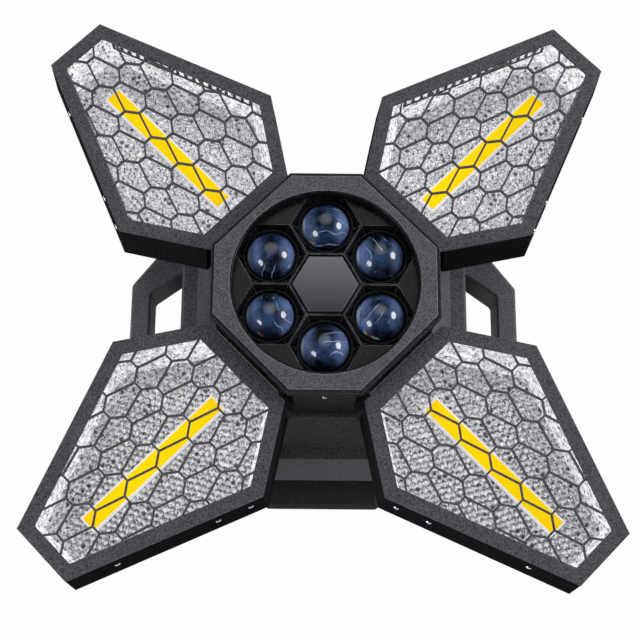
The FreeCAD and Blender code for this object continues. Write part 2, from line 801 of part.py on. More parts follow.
def make_heat_sink():
    """Disc on the housing shelf with straight fins down to the fan."""
    body = new_body("heat_sink")
    pad(body, sketch(body, "XY_Plane", SHELF_TOP, circles=[(ZERO, ZERO, S.sink_radius)]), S.sink_base)
    fins = []
    fin_count = int(float(S.fin_radius) * 2 // float(S.fin_pitch))
    for index in range(fin_count):
        place_across = S.fin_pitch * (index - (fin_count - 1) / 2)
        edge = abs(float(place_across)) + float(S.fin_thickness)
        share = math.sqrt(1.0 - (edge / float(S.fin_radius)) ** 2)
        fins.append(rectangle(S.fin_radius * share, S.fin_thickness / 2, y=place_across))
    pad(body, sketch(body, "XY_Plane", FAN_TOP, fins), SHELF_TOP - FAN_TOP)


def make_fan_frame():
    """Square fan frame on the pod floor: a round bore, four struts and the boss with the shaft."""
    body = new_body("fan_frame")
    square = rectangle(S.fan_half, S.fan_half)
    pad(body, sketch(body, "XY_Plane", FAN_BOTTOM, [square]), S.fan_height)
    pocket(body, sketch(body, "XY_Plane", FAN_TOP, circles=[(ZERO, ZERO, S.fan_bore)]))
    arm = rectangle(S.fan_bore / 2 + S.fan_floor, S.fan_strut / 2, S.fan_bore / 2)
    strut = pad(body, sketch(body, "XY_Plane", FAN_BOTTOM, [arm]), S.fan_floor)
    around(body, [strut], FAN_STRUTS)
    pad(body, sketch(body, "XY_Plane", FAN_BOTTOM, circles=[(ZERO, ZERO, S.fan_boss)]), S.fan_floor)
    pad(body, sketch(body, "XY_Plane", FAN_BOTTOM, circles=[(ZERO, ZERO, S.shaft_radius)]),
        S.fan_floor + S.rotor_height)


def make_fan_rotor():
    """Seven pitched blades round a hub that runs on the frame's shaft."""
    bottom = float(FAN_BOTTOM + S.fan_floor + S.slide_gap)
    height = float(S.rotor_height)
    hub = Part.makeCylinder(float(S.rotor_hub), height, Vector(0, 0, bottom))
    envelope = Part.makeCylinder(float(S.blade_radius), height, Vector(0, 0, bottom))
    rotor = hub
    for index in range(BLADE_COUNT):
        blade = Part.makeBox(float(S.blade_radius) * 2, float(S.blade_thickness), height * 3)
        blade.translate(Vector(0, -float(S.blade_thickness) / 2, -height * 1.5))
        blade.rotate(Vector(), Vector(1, 0, 0), 90.0 - float(S.blade_angle))
        blade.translate(Vector(0, 0, bottom + height / 2))
        blade.rotate(Vector(), Vector(0, 0, 1), 360.0 / BLADE_COUNT * index)
        rotor = rotor.fuse(blade.common(envelope))
    bore = Part.makeCylinder(float(S.shaft_radius + S.pin_play), height, Vector(0, 0, bottom))
    item = DOC.addObject("Part::Feature", "fan_rotor")
    item.Shape = rotor.cut(bore)
    item.Placement = Placement()
    node(item, "fan_rotor")


# ---------------------------------------------------------------- wings

def placed_wings(pattern, label, reach):
    for wing, angle in WING_ANGLES.items():
        placed(pattern, label.format(wing), reach, angle)


def wing_corners(start=ZERO):
    """Corners of a wing's plan along +X from its hinge edge; start trims that edge back."""
    slope = (S.wing_shoulder_half - S.wing_inner_half) / S.wing_shoulder_reach
    inner = S.wing_inner_half + slope * start
    return [(start, -inner), (S.wing_shoulder_reach, -S.wing_shoulder_half), (S.wing_reach, -S.wing_tip_half),
            (S.wing_reach, S.wing_tip_half), (S.wing_shoulder_reach, S.wing_shoulder_half), (start, inner)]


def wing_outline(level=ZERO, start=ZERO):
    return sketch(None, "XY_Plane", level, [wing_corners(start)])


def drawn_in_outline(level, distances):
    """The wing's plan with each of its six sides moved in by a distance of its own."""
    corners = wing_corners()
    inward = []
    for index, (x, y) in enumerate(corners):
        next_x, next_y = corners[(index + 1) % len(corners)]
        run = Vector(float(next_x) - float(x), float(next_y) - float(y), 0)
        run.normalize()
        inward.append((-run.y, run.x))
    moved = []
    for index, (x, y) in enumerate(corners):
        before_x, before_y = inward[index - 1]
        after_x, after_y = inward[index]
        spread = before_x * after_y - before_y * after_x
        before, after = distances[index - 1], distances[index]
        moved.append((x + before * (after_y / spread) - after * (before_y / spread),
                      y - before * (after_x / spread) + after * (before_x / spread)))
    return sketch(None, "XY_Plane", level, [moved])


def offset(outline, distance, level):
    """The wing outline pushed out, or drawn in where the distance is negative, at a level."""
    ring = DOC.addObject("Part::Offset2D", "offset")
    ring.Source = outline
    ring.Join = "Intersection"
    bind(ring, "Value", distance)
    bind(ring, "Placement.Base.z", level)
    return ring


def solid_between(lower, upper):
    body = DOC.addObject("Part::Loft", "loft")
    body.Sections = [lower, upper]
    body.Solid = True
    body.Ruled = True
    return body


def cut(base, tool):
    result = DOC.addObject("Part::Cut", "cut")
    result.Base = base
    result.Tool = tool
    return result


def hinge_side_block(edge):
    """Everything on the hinge side of an edge, to trim a wing piece back to that edge."""
    block = DOC.addObject("Part::Box", "trim")
    reach = S.wing_wall * 10
    bind(block, "Length", reach + edge)
    bind(block, "Width", S.wing_shoulder_half * 2)
    bind(block, "Height", S.wing_depth * 2)
    bind(block, "Placement.Base.x", -reach)
    bind(block, "Placement.Base.y", -S.wing_shoulder_half)
    bind(block, "Placement.Base.z", WING_BACK - S.wing_depth / 2)
    return block


def grille_cells():
    """Hexagons of the stretched honeycomb, in columns along the wing.

    Each cell runs between two short cross edges. Its side corners sit a short rise
    past one edge in even columns, and odd columns stand that much further out, so
    neighbouring columns mesh with their long slopes alternating.
    """
    columns = int(float(S.wing_shoulder_half) // float(S.column_pitch)) + 1
    rows = int(float(S.wing_reach) // float(S.cell_pitch)) + 1
    edge = float(S.cell_edge_half)
    side = float(S.column_pitch) - edge
    pitch = float(S.cell_pitch)
    for column in range(-columns, columns + 1):
        middle = float(S.column_pitch) * column
        odd = column % 2
        for row in range(-2, rows + 1):
            start = float(S.cell_start) + pitch * row + (float(S.cell_rise) if odd else 0.0)
            corner = start + (pitch - float(S.cell_rise) if odd else float(S.cell_rise))
            yield [Vector(start, middle - edge, 0), Vector(start, middle + edge, 0),
                   Vector(corner, middle + side, 0), Vector(start + pitch, middle + edge, 0),
                   Vector(start + pitch, middle - edge, 0), Vector(corner, middle - side, 0)]


def make_wing_frames():
    """Front frame of a wing: a flat border, the honeycomb grille and a lip inside the shell."""
    DOC.recompute()
    outline = wing_outline(WING_FRONT)
    outer_lip = offset(wing_outline(start=S.hinge_recess), -(S.wing_wall + S.seat_gap), SHELL_TOP)
    DOC.recompute()
    plate = Part.Face(outline.Shape.Wires[0])
    opening = plate.makeOffset2D(-float(S.frame_border), 2)
    inner_edge = Part.makePlane(float(S.frame_inner_border), 4 * float(S.wing_shoulder_half),
                                Vector(0, -2 * float(S.wing_shoulder_half), float(WING_FRONT)))
    opening = opening.cut(inner_edge)
    windows = []
    for corners in grille_cells():
        cell = Part.Face(Part.makePolygon(corners + corners[:1])).makeOffset2D(-float(S.rib_width) / 2, 2)
        cell.translate(Vector(0, 0, float(WING_FRONT)))
        for window in cell.common(opening).Faces:
            if window.Area > float(S.least_window) ** 2:
                windows.append(window)
    frame = plate.cut(windows).extrude(Vector(0, 0, -float(S.frame_thickness)))
    lip = Part.Face(outer_lip.Shape.Wires[0])
    lip = lip.cut(lip.makeOffset2D(-float(S.lip_wall), 2))
    frame = frame.fuse(lip.extrude(Vector(0, 0, -float(S.lip_depth)))).removeSplitter()
    item = DOC.addObject("Part::Feature", "frame")
    item.Shape = frame
    placed_wings(item, "wing_{}_frame", S.wing_inner_reach)


def make_wing_shells():
    """Tray behind the frame: walls that lean out towards the back, upright beside the hinge."""
    plan = wing_outline()
    outer = solid_between(offset(plan, S.wing_flare, WING_BACK), wing_outline(SHELL_TOP))
    flare_at_floor = S.wing_flare * ((S.wing_depth - S.frame_thickness - S.wing_wall) /
                                     (S.wing_depth - S.frame_thickness))
    inner = solid_between(offset(plan, flare_at_floor - S.wing_wall, WING_FLOOR),
                          offset(plan, -S.wing_wall, SHELL_TOP))
    cavity = cut(inner, hinge_side_block(S.hinge_recess + S.wing_wall))
    shell = cut(cut(outer, hinge_side_block(S.hinge_recess)), cavity)
    placed_wings(shell, "wing_{}_shell", S.wing_inner_reach)


def make_wing_reflectors():
    """Bright tray inside the shell: steep long sides, and a slope at the hinge, shoulders and tip."""
    plan = wing_outline()
    rim = S.wing_wall + S.seat_gap + S.lip_wall + S.seat_gap
    rim_level = SHELL_TOP - S.seat_gap
    slopes = [S.shoulder_slope, S.long_slope, S.tip_slope, S.long_slope, S.shoulder_slope, S.hinge_slope]
    under = [rim + slope for slope in slopes]
    floor = [distance + S.reflector_wall for distance in under]
    outer = solid_between(drawn_in_outline(WING_FLOOR, under), offset(plan, -rim, rim_level))
    inner = solid_between(drawn_in_outline(WING_FLOOR + S.reflector_wall, floor),
                          offset(plan, -(rim + S.reflector_wall), rim_level))
    edge = S.hinge_recess + rim
    tray = cut(cut(outer, hinge_side_block(edge)), cut(inner, hinge_side_block(edge + S.reflector_wall)))
    placed_wings(tray, "wing_{}_reflector", S.wing_inner_reach)


def make_light_bars():
    """Light bars down the middle of the reflector floors."""
    body = new_pattern("light_bar")
    level = WING_FLOOR + S.reflector_wall
    plan = rectangle(S.bar_length / 2, S.bar_width / 2, S.bar_start + S.bar_length / 2)
    pad(body, sketch(body, "XY_Plane", level, [plan]), S.bar_height)
    chamfer(body, at_level(level + S.bar_height), S.bar_bevel)
    placed_wings(body, "wing_{}_light_bar", S.wing_inner_reach)


def knuckle(index, inner_face, bore):
    """One knuckle of a hinge with the web that joins it to the flat face beside it."""
    pitch = float(S.hinge_length) / HINGE_KNUCKLES
    gap = float(S.knuckle_gap)
    start = -float(S.hinge_length) / 2 + pitch * index + gap / 2
    length = pitch - gap
    radius = float(S.knuckle_radius)
    level = float(HINGE_LEVEL)
    barrel = Part.makeCylinder(radius, length, Vector(0, start, level), Vector(0, 1, 0))
    low = min(0.0, inner_face)
    height = radius - float(S.web_step)
    web = Part.makeBox(abs(inner_face), length, height, Vector(low, start, level - radius))
    hole = Part.makeCylinder(bore, length, Vector(0, start, level), Vector(0, 1, 0))
    return barrel.fuse(web).cut(hole)


def make_hinges():
    """Full-length hinges: three knuckles on the pod's leaf, two on the wing's, and the pin."""
    leaf_half = float(S.hinge_length) / 2
    leaf_top = float(HINGE_LEVEL) - float(S.knuckle_radius) - float(S.knuckle_gap)
    thickness = float(S.leaf_thickness)
    pod_face = float(S.pod_flat) - float(HINGE_REACH)
    wing_face = float(S.wing_inner_reach) + float(S.hinge_recess) - float(HINGE_REACH)
    for side, face in (("pod", pod_face), ("wing", wing_face)):
        low = face if side == "pod" else face - thickness
        top = float(HINGE_LEVEL) if side == "pod" else leaf_top
        bottom = top - float(S.leaf_height)
        leaf = Part.makeBox(thickness, leaf_half * 2, top - bottom, Vector(low, -leaf_half, bottom))
        bore = float(S.pin_radius + (S.pin_fit if side == "pod" else S.pin_play))
        first = 0 if side == "pod" else 1
        for index in range(first, HINGE_KNUCKLES, 2):
            leaf = leaf.fuse(knuckle(index, face, bore))
        if side == "wing":
            leaf = leaf.fuse(wing_tabs(face, thickness, leaf_top))
        item = DOC.addObject("Part::Feature", f"{side}_leaf")
        item.Shape = leaf.removeSplitter()
        placed_wings(item, "hinge_{}_" + f"{side}_leaf", HINGE_REACH)
    pin = DOC.addObject("Part::Cylinder", "pin")
    bind(pin, "Radius", S.pin_radius)
    bind(pin, "Height", S.hinge_length)
    pin.Placement = Placement(Vector(), Rotation(Vector(1, 0, 0), -90))
    bind(pin, "Placement.Base.y", -S.hinge_length / 2)
    bind(pin, "Placement.Base.z", HINGE_LEVEL)
    placed_wings(pin, "hinge_{}_pin", HINGE_REACH)


def wing_tabs(face, thickness, leaf_top):
    """Short tabs that carry the wing's knuckles down to its leaf."""
    pitch = float(S.hinge_length) / HINGE_KNUCKLES
    gap = float(S.knuckle_gap)
    tabs = []
    for index in range(1, HINGE_KNUCKLES, 2):
        start = -float(S.hinge_length) / 2 + pitch * index + gap / 2
        tabs.append(Part.makeBox(thickness, pitch - gap, float(HINGE_LEVEL - S.web_step) - leaf_top,
                                 Vector(face - thickness, start, leaf_top)))
    return tabs


# ---------------------------------------------------------------- whole light

def make_light():
    make_feet()
    make_base_plate()
    make_base_cover()
    make_handles()
    make_power_supply()
    make_control_board()
    make_display_window()
    for name, x in zip(BUTTON_NAMES, button_places()):
        make_button(name, x)
    signal_out, signal_in, power_in, power_out = socket_places()
    make_socket("signal_output", signal_out, male=False)
    make_socket("signal_input", signal_in, male=True)
    make_socket("power_inlet", power_in, male=True)
    make_socket("power_outlet", power_out, male=False)
    make_fuse_holder()
    make_pod_housing()
    make_pod_bezel()
    make_lens_plate()
    make_hub_cap()
    make_lenses()
    make_led_board()
    make_heat_sink()
    make_fan_frame()
    make_fan_rotor()
    make_wing_frames()
    make_wing_shells()
    make_wing_reflectors()
    make_light_bars()
    make_hinges()


def check():
    """Stops before anything is written if a feature or a finished piece is unsound."""
    failed = [item.Name for item in DOC.Objects if {"Invalid", "Error"} & set(item.State)]
    if failed:
        raise RuntimeError(f"features failed: {failed}")
    for item in NODES:
        if item.Shape.isNull() or not item.Shape.isValid():
            raise RuntimeError(f"{item.Label} has no sound shape")


def write():
    os.makedirs("parts", exist_ok=True)
    for item in NODES:
        item.Shape.exportStep(f"parts/{item.Label}.step")
        print(f"{item.Label}: {len(item.Shape.Solids)} solids, {item.Shape.Volume / 1000.0:.1f} cm3")


make_light()
DOC.recompute()
check()
write()
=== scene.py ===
"""Dresses the four-wing effect light: finishes, small fittings, light and camera."""
import math
import random

import bpy
from mathutils import Matrix, Vector, noise


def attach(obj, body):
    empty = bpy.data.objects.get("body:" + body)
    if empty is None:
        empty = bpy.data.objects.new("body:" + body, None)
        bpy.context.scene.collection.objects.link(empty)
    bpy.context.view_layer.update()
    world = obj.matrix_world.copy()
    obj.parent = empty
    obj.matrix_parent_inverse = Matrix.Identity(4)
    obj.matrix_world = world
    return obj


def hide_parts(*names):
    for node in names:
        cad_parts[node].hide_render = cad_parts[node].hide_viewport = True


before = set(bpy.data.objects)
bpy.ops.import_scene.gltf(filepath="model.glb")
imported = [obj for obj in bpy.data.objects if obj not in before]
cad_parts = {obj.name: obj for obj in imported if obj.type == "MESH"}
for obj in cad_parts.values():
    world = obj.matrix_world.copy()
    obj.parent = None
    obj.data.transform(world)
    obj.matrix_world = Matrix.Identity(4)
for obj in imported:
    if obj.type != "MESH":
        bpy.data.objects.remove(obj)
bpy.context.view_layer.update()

MM = 0.001

# Sizes of the wing in its own frame: x out from the hinge edge, y across, in millimetres
WING_ANGLES = {"back_right": 45.0, "back_left": 135.0, "front_left": 225.0, "front_right": 315.0}
WING_REACH = 111.2
WING_INNER_HALF = 55.4
WING_SHOULDER = (81.0, 108.5)
WING_TIP = (271.0, 35.0)
FRAME_BACK = 235.0
FRAME_BORDER = 14.0
# Tray: how far its floor and its rim are drawn in from the wing's outline, side by side round the plan
TRAY_FLOOR = 182.0
TRAY_RIM = 234.7
TRAY_RIM_INSET = 6.5
TRAY_FLOOR_INSETS = (21.5, 10.5, 14.5, 10.5, 21.5, 10.5)
TRAY_HINGE_EDGE = 10.5
FLOOR_OVERLAP = 1.2
WALL_SINK = 0.8
WALL_STEP = 3.0
WALL_RISES = 18
RIPPLE_DEPTH = 0.9
RIPPLE_SCALE = 0.16
RIPPLE_RISE = 50.0
# Pressed cups of the tray's floor
CUP_PITCH = 6.9
CUP_ROW = 0.866
CUP_REACH = 0.52
CUP_RIDGE = 1.15
CUP_DEPTH = 0.58
CUP_DEPTH_SPREAD = (0.7, 1.25)
CUP_NUDGE = 0.7
CUP_GRID = 0.9
DARK_CUPS = 0.08
DARK_TONE = 0.9
PALE_TONE = 0.3
CUP_SEED = 3
# Light bar and the phosphor strip on it
BAR_START = 43.0
BAR_LENGTH = 181.0
BAR_TOP = 188.0
STRIP_WIDTH = 16.6
STRIP_END_GAP = 2.0
STRIP_SINK = 0.1
STRIP_CROWN = 0.8
STRIP_ROUND = 0.5
STRIP_STEPS = 60
# Toothed rail under the frame's long sides
COMB_PITCH = 9.6
COMB_TOOTH = 3.6
COMB_START = 8.0
COMB_INSET = 0.6
COMB_THICK = 0.9
COMB_LOW = 224.8
COMB_RAIL_TOP = 227.6
# Rings round the lenses and inside the mouth
LENS_CIRCLE = 64.0
LENS_COUNT = 6
LENS_SEAT = 238.0
MOUTH_RADIUS = 95.6
MOUTH_LOW = 249.2
MOUTH_TOP = 262.0
RING_STEPS = 72
MOUTH_STEPS = 160
# Screws
SCREW_RADIUS = 2.1
SCREW_CROWN = 0.5
SCREW_ROUND = 2.4
SLOT_HALF = 0.17
SLOT_REACH = 0.62
SLOT_DEPTH = 0.35
SCREW_SIZE = 1.35
SCREW_SINK = 0.1
SCREW_SHARES = (0.24, 0.76, 0.93)
SCREW_TURN = 0.6
TIP_SCREW_TURN = 0.3
SCREW_OUTSIDE = 40.0
POD_OUTSIDE = 200.0
WING_SCREW_HEIGHT = 214.0
POD_SCREW_HEIGHT = 232.0
# Noise scales of the finishes, in waves per metre
PEBBLE = 720.0
CLOUDING = 26.0
SCUFFS = 210.0
GLOSS_PATCH = 420.0
GLOSS_BREAKS = 75.0
TURNED_GRAIN = 1300.0
SILVER_MOTTLE = 170.0
SILVER_SPECKS = 430.0
SILVER_HAIRS = 120.0
# The two lens scales are of painted internal reflection: clouds and swirl lines.
LENS_REFLECTION_CLOUD = 52.0
LENS_REFLECTION_SWIRL = 26.0
# Floor, in millimetres, and its tone
FLOOR_HALF = 6000
FLOOR_WHITE = 0.985
FLOOR_TONE = 0.22
# Small glow that stands in for light bounced about inside the trays
CUP_GLOW = 0.15
WALL_GLOW = 0.72
STRIP_GLOW = 0.36
BAR_GLOW = 0.25
# Sky: the direction it is brightest in, then low and high strength and where each is reached
SKY_LEAN = (0.0, 0.45, 0.893)
SKY_DIFFUSE = (0.05, 0.85, -0.3, 1.0)
SKY_GLOSS = (0.03, 1.5, 0.82, 0.985)
# Lamps: spot, target, width and height in metres, then radiance
BACK_BOX = ((0.0, 1.44, 2.0), (0.0, 1.44, 0.0), 2.7, 1.76, 1.15)
LEFT_LAMP = ((-1.30, -0.90, 0.82), (0.0, 0.0, 0.2), 0.76, 0.76, 7.2)
RIGHT_LAMP = ((1.50, 0.10, 0.95), (0.0, 0.0, 0.2), 0.8, 0.8, 8.8)
# Camera, in metres and radians
CAMERA_SPOT = (-0.01381, -0.36, 1.40799)
CAMERA_TURN = (0.27126, -0.00712, 0.00938)
CAMERA_LENS = 67.707
CAMERA_SENSOR = 36.0
CAMERA_NEAR = 0.05


# ---------------------------------------------------------------- node graphs

class Graph:
    """A material's nodes, with short calls for the ones used often."""

    def __init__(self, name):
        self.material = bpy.data.materials.new(name)
        self.material.use_nodes = True
        self.tree = self.material.node_tree
        self.shader = self.tree.nodes["Principled BSDF"]
        self.coords = None

    def add(self, kind, **settings):
        item = self.tree.nodes.new(kind)
        for key, value in settings.items():
            setattr(item, key, value)
        return item

    def link(self, source, target):
        self.tree.links.new(source, target)

    def put(self, socket, value):
        if isinstance(value, bpy.types.NodeSocket):
            self.link(value, socket)
        else:
            socket.default_value = value

    def place(self):
        if self.coords is None:
            self.coords = self.add("ShaderNodeTexCoord")
        return self.coords.outputs["Object"]

    def noise(self, scale, detail=2.0, roughness=0.5, vector=None):
        item = self.add("ShaderNodeTexNoise")
        self.link(vector or self.place(), item.inputs["Vector"])
        item.inputs["Scale"].default_value = scale
        item.inputs["Detail"].default_value = detail
        item.inputs["Roughness"].default_value = roughness
        return item.outputs["Fac"]

    def span(self, value, low, high, to_low=0.0, to_high=1.0):
        item = self.add("ShaderNodeMapRange")
        item.clamp = True
        self.put(item.inputs["Value"], value)
        item.inputs["From Min"].default_value = low
        item.inputs["From Max"].default_value = high
        item.inputs["To Min"].default_value = to_low
        item.inputs["To Max"].default_value = to_high
        return item.outputs["Result"]

    def math(self, operation, first, second=0.0):
        item = self.add("ShaderNodeMath", operation=operation)
        self.put(item.inputs[0], first)
        self.put(item.inputs[1], second)
        return item.outputs[0]

    def mix(self, factor, first, second):
        item = self.add("ShaderNodeMix", data_type="RGBA")
        self.put(item.inputs["Factor"], factor)
        self.put(item.inputs["A"], colour(first))
        self.put(item.inputs["B"], colour(second))
        return item.outputs["Result"]

    def axis(self, name, vector=None):
        item = self.add("ShaderNodeSeparateXYZ")
        self.link(vector or self.place(), item.inputs[0])
        return item.outputs[name]

    def edges(self, radius, low=0.02, high=0.25):
        """One along convex and concave edges, nought on the flats."""
        bevel = self.add("ShaderNodeBevel", samples=4)
        bevel.inputs["Radius"].default_value = radius
        face = self.add("ShaderNodeNewGeometry")
        dot = self.add("ShaderNodeVectorMath", operation="DOT_PRODUCT")
        self.link(bevel.outputs["Normal"], dot.inputs[0])
        self.link(face.outputs["Normal"], dot.inputs[1])
        bend = self.math("SUBTRACT", 1.0, dot.outputs["Value"])
        return self.span(bend, low, high), bevel.outputs["Normal"]

    def bump(self, height, distance, strength=1.0, normal=None):
        item = self.add("ShaderNodeBump")
        item.inputs["Strength"].default_value = strength
        item.inputs["Distance"].default_value = distance
        self.link(height, item.inputs["Height"])
        if normal is not None:
            self.link(normal, item.inputs["Normal"])
        self.link(item.outputs["Normal"], self.shader.inputs["Normal"])
        return item.outputs["Normal"]

    def finish(self, **sockets):
        for name, value in sockets.items():
            self.put(self.shader.inputs[name.replace("_", " ")], value)
        return self.material


def colour(value):
    """Linear colour of an sRGB triple given in 0 to 255, or a socket passed through."""
    if isinstance(value, bpy.types.NodeSocket):
        return value
    linear = []
    for part in value:
        part = part / 255.0
        linear.append(part / 12.92 if part <= 0.04045 else ((part + 0.055) / 1.055) ** 2.4)
    return (*linear, 1.0)


def textured_plastic(name, tint, fleck, edge, rough=0.62, grain=0.00012, shine=0.25, edge_radius=0.0009,
                     line=0.75):
    """Moulded plastic with a pebble grain, faint clouding and pale edge lines, partly wear and partly
    painted highlight.
    """
    g = Graph(name)
    g.shader.inputs["Specular IOR Level"].default_value = shine
    fine = g.noise(PEBBLE, 3.0, 0.7)
    cloud = g.noise(CLOUDING, 3.0, 0.6)
    body = g.mix(g.span(fine, 0.38, 0.64), tint, fleck)
    body = g.mix(g.span(cloud, 0.35, 0.7, 0.0, 0.12), body, fleck)
    # Pale edge lines: partly wear, partly a painted highlight along every edge.
    pale_mix, rounded = g.edges(edge_radius)
    scuff_and_highlight = g.math("MULTIPLY", pale_mix, g.span(g.noise(SCUFFS, 3.0), 0.3, 0.62, 0.4, 1.0))
    body = g.mix(g.math("MULTIPLY", scuff_and_highlight, line), body, edge)
    g.bump(fine, grain, 0.8, rounded)
    roughness = g.span(cloud, 0.3, 0.7, rough - 0.05, rough + 0.06)
    return g.finish(Base_Color=body, Roughness=roughness)


def gloss_black(name, edge_light=1.0):
    """Polished black moulding with a painted highlight: a thin pale line along its edges."""
    g = Graph(name)
    pale_mix, rounded = g.edges(0.0006, 0.015, 0.12)
    patch = g.noise(GLOSS_PATCH, 4.0, 0.7)
    body = g.mix(g.span(patch, 0.4, 0.66), (9, 9, 11), (34, 34, 37))
    breaks = g.span(g.noise(GLOSS_BREAKS, 2.0), 0.34, 0.6, 0.3, edge_light)
    # Painted highlight: a thin pale line, broken here and there, along the edges.
    line = g.math("MULTIPLY", pale_mix, breaks)
    body = g.mix(line, body, (172, 172, 178))
    g.bump(patch, 0.00004, 0.5, rounded)
    rough = g.span(patch, 0.3, 0.7, 0.16, 0.3)
    return g.finish(Base_Color=body, Roughness=rough, Specular_IOR_Level=0.2)


def satin_cap(name):
    """Dark satin cap with a fine turned grain, painted shading across its face (paler towards +Y,
    darker towards -Y) and a painted highlight along its edges.
    """
    g = Graph(name)
    # Painted shading: paler towards +Y, darker towards -Y.
    painted_shading = g.span(g.axis("Y"), -0.03, 0.031)
    fine = g.noise(TURNED_GRAIN, 2.0)
    body = g.mix(painted_shading, (38, 37, 41), (106, 105, 112))
    body = g.mix(g.span(fine, 0.4, 0.65, 0.0, 0.2), body, (92, 91, 96))
    # Painted highlight along the edges.
    pale_mix, rounded = g.edges(0.0007, 0.015, 0.15)
    body = g.mix(g.math("MULTIPLY", pale_mix, 0.8), body, (168, 167, 172))
    g.bump(fine, 0.00003, 0.5, rounded)
    return g.finish(Base_Color=body, Roughness=0.42, Specular_IOR_Level=0.25)


def lens_glass(name):
    """Deep blue moulded optic painted with light: painted internal reflection in clouds, a painted glow
    towards its sides, painted shade at its top, bottom and rim, painted reflection lines, painted prism
    glints low down and a painted highlight at its left rim.
    """
    g = Graph(name)
    facing = g.add("ShaderNodeLayerWeight")
    facing.inputs["Blend"].default_value = 0.5
    rim = facing.outputs["Facing"]
    face = g.add("ShaderNodeNewGeometry")
    across = g.axis("X", face.outputs["Normal"])
    upward = g.axis("Y", face.outputs["Normal"])
    side = g.math("ABSOLUTE", across)
    # The cloud is painted internal reflection: paler blue patches in the dark body.
    cloud = g.noise(LENS_REFLECTION_CLOUD, 4.0, 0.65)
    deep = g.mix(g.span(cloud, 0.42, 0.62), (3, 7, 18), (44, 66, 104))
    # Painted glow towards the sides.
    paler = g.math("MULTIPLY", g.span(side, 0.3, 0.75), g.span(cloud, 0.3, 0.6, 0.25, 0.9))
    body = g.mix(paler, deep, (104, 126, 176))
    # Painted shade towards the top and bottom.
    ends = g.span(g.math("ABSOLUTE", upward), 0.6, 0.95, 0.0, 0.75)
    body = g.mix(ends, body, (10, 13, 24))
    # Painted shade at the grazing rim.
    body = g.mix(g.span(rim, 0.66, 0.92), body, (12, 15, 26))
    # Painted reflection: thin pale curved lines.
    swirl = g.add("ShaderNodeTexWave", wave_type="RINGS", rings_direction="Z")
    g.link(g.place(), swirl.inputs["Vector"])
    swirl.inputs["Scale"].default_value = LENS_REFLECTION_SWIRL
    swirl.inputs["Distortion"].default_value = 7.0
    swirl.inputs["Detail"].default_value = 3.0
    shown = g.span(g.noise(38.0, 2.0), 0.5, 0.58)
    thin = g.math("MULTIPLY", g.span(swirl.outputs["Fac"], 0.972, 0.996), shown)
    body = g.mix(g.math("MULTIPLY", thin, 0.6), body, (170, 188, 228))
    # Painted prism glints in a band low on the rim.
    strewn = g.span(g.noise(58.0, 2.0), 0.54, 0.6)
    low = g.math("MULTIPLY", g.span(upward, -0.42, -0.6), strewn)
    spread = g.add("ShaderNodeValToRGB")
    hues = ((0.0, (60, 120, 220)), (0.25, (90, 220, 210)), (0.5, (240, 200, 70)),
            (0.75, (235, 110, 60)), (1.0, (150, 90, 200)))
    ramp = spread.color_ramp
    while len(ramp.elements) < len(hues):
        ramp.elements.new(0.5)
    for stop, (at, hue) in zip(ramp.elements, hues):
        stop.position = at
        stop.color = colour(hue)
    g.link(g.span(g.noise(120.0, 1.0), 0.36, 0.64), spread.inputs["Fac"])
    painted_glint_band = g.math("MULTIPLY", low, g.span(rim, 0.34, 0.42))
    painted_glint_band = g.math("MULTIPLY", painted_glint_band, g.span(rim, 0.6, 0.5))
    body = g.mix(painted_glint_band, body, spread.outputs["Color"])
    # Painted highlight: a pale crescent at the left rim.
    body = g.mix(g.span(across, -0.82, -0.93, 0.0, 0.85), body, (190, 208, 240))
    g.bump(g.noise(34.0, 2.0), 0.0006, 0.2)
    return g.finish(Base_Color=body, Roughness=0.34, Specular_IOR_Level=0.15, Coat_Weight=1.0,
                    Coat_Roughness=0.08, Coat_IOR=1.68)


def silvered(name, dark, pale, metal=0.92, rough=(0.12, 0.24), glow=0.0, cups=False):
    """Vacuum-metallised plastic: mottled silver with dark flecks and hair lines; with cups, a painted
    reflection in each pressed cup; with glow, a painted glow standing in for light bounced about inside
    the tray.
    """
    g = Graph(name)
    mottle = g.noise(SILVER_MOTTLE, 4.0, 0.68)
    body = g.mix(g.span(mottle, 0.4, 0.62), dark, pale)
    stretch = g.add("ShaderNodeMapping")
    g.link(g.place(), stretch.inputs["Vector"])
    stretch.inputs["Scale"].default_value = (1.0, 0.55, 0.55)
    specks = g.noise(SILVER_SPECKS, 3.0, 0.72, stretch.outputs["Vector"])
    body = g.mix(g.span(specks, 0.555, 0.61, 0.0, 0.95), body, (24, 24, 26))
    ridge = g.math("ABSOLUTE", g.math("SUBTRACT", g.noise(SILVER_HAIRS, 3.0, 0.6), 0.5))
    present = g.span(g.noise(SILVER_HAIRS / 2, 1.0), 0.48, 0.56)
    hair = g.math("MULTIPLY", g.span(ridge, 0.012, 0.004), present)
    body = g.mix(g.math("MULTIPLY", hair, 0.6), body, (60, 60, 64))
    if cups:
        share = g.add("ShaderNodeAttribute", attribute_name="cup").outputs["Fac"]
        tone = g.add("ShaderNodeAttribute", attribute_name="tone").outputs["Fac"]
        # Painted reflection: a darker ring round each cup and a dark centre in some cups.
        ring = g.math("MULTIPLY", g.span(share, 0.3, 0.5), g.span(share, 0.95, 0.7))
        body = g.mix(g.math("MULTIPLY", ring, 0.32), body, (84, 84, 90))
        pit = g.math("MULTIPLY", g.span(share, 0.42, 0.22), tone)
        body = g.mix(pit, body, (52, 52, 56))
    g.bump(specks, 0.00012, 0.5)
    g.finish(Base_Color=body, Metallic=metal, Roughness=g.span(mottle, 0.3, 0.7, *rough))
    # Painted glow standing in for light bounced about inside the tray.
    if glow:
        g.finish(Emission_Color=body)
        g.shader.inputs["Emission Strength"].default_value = glow
    return g.material


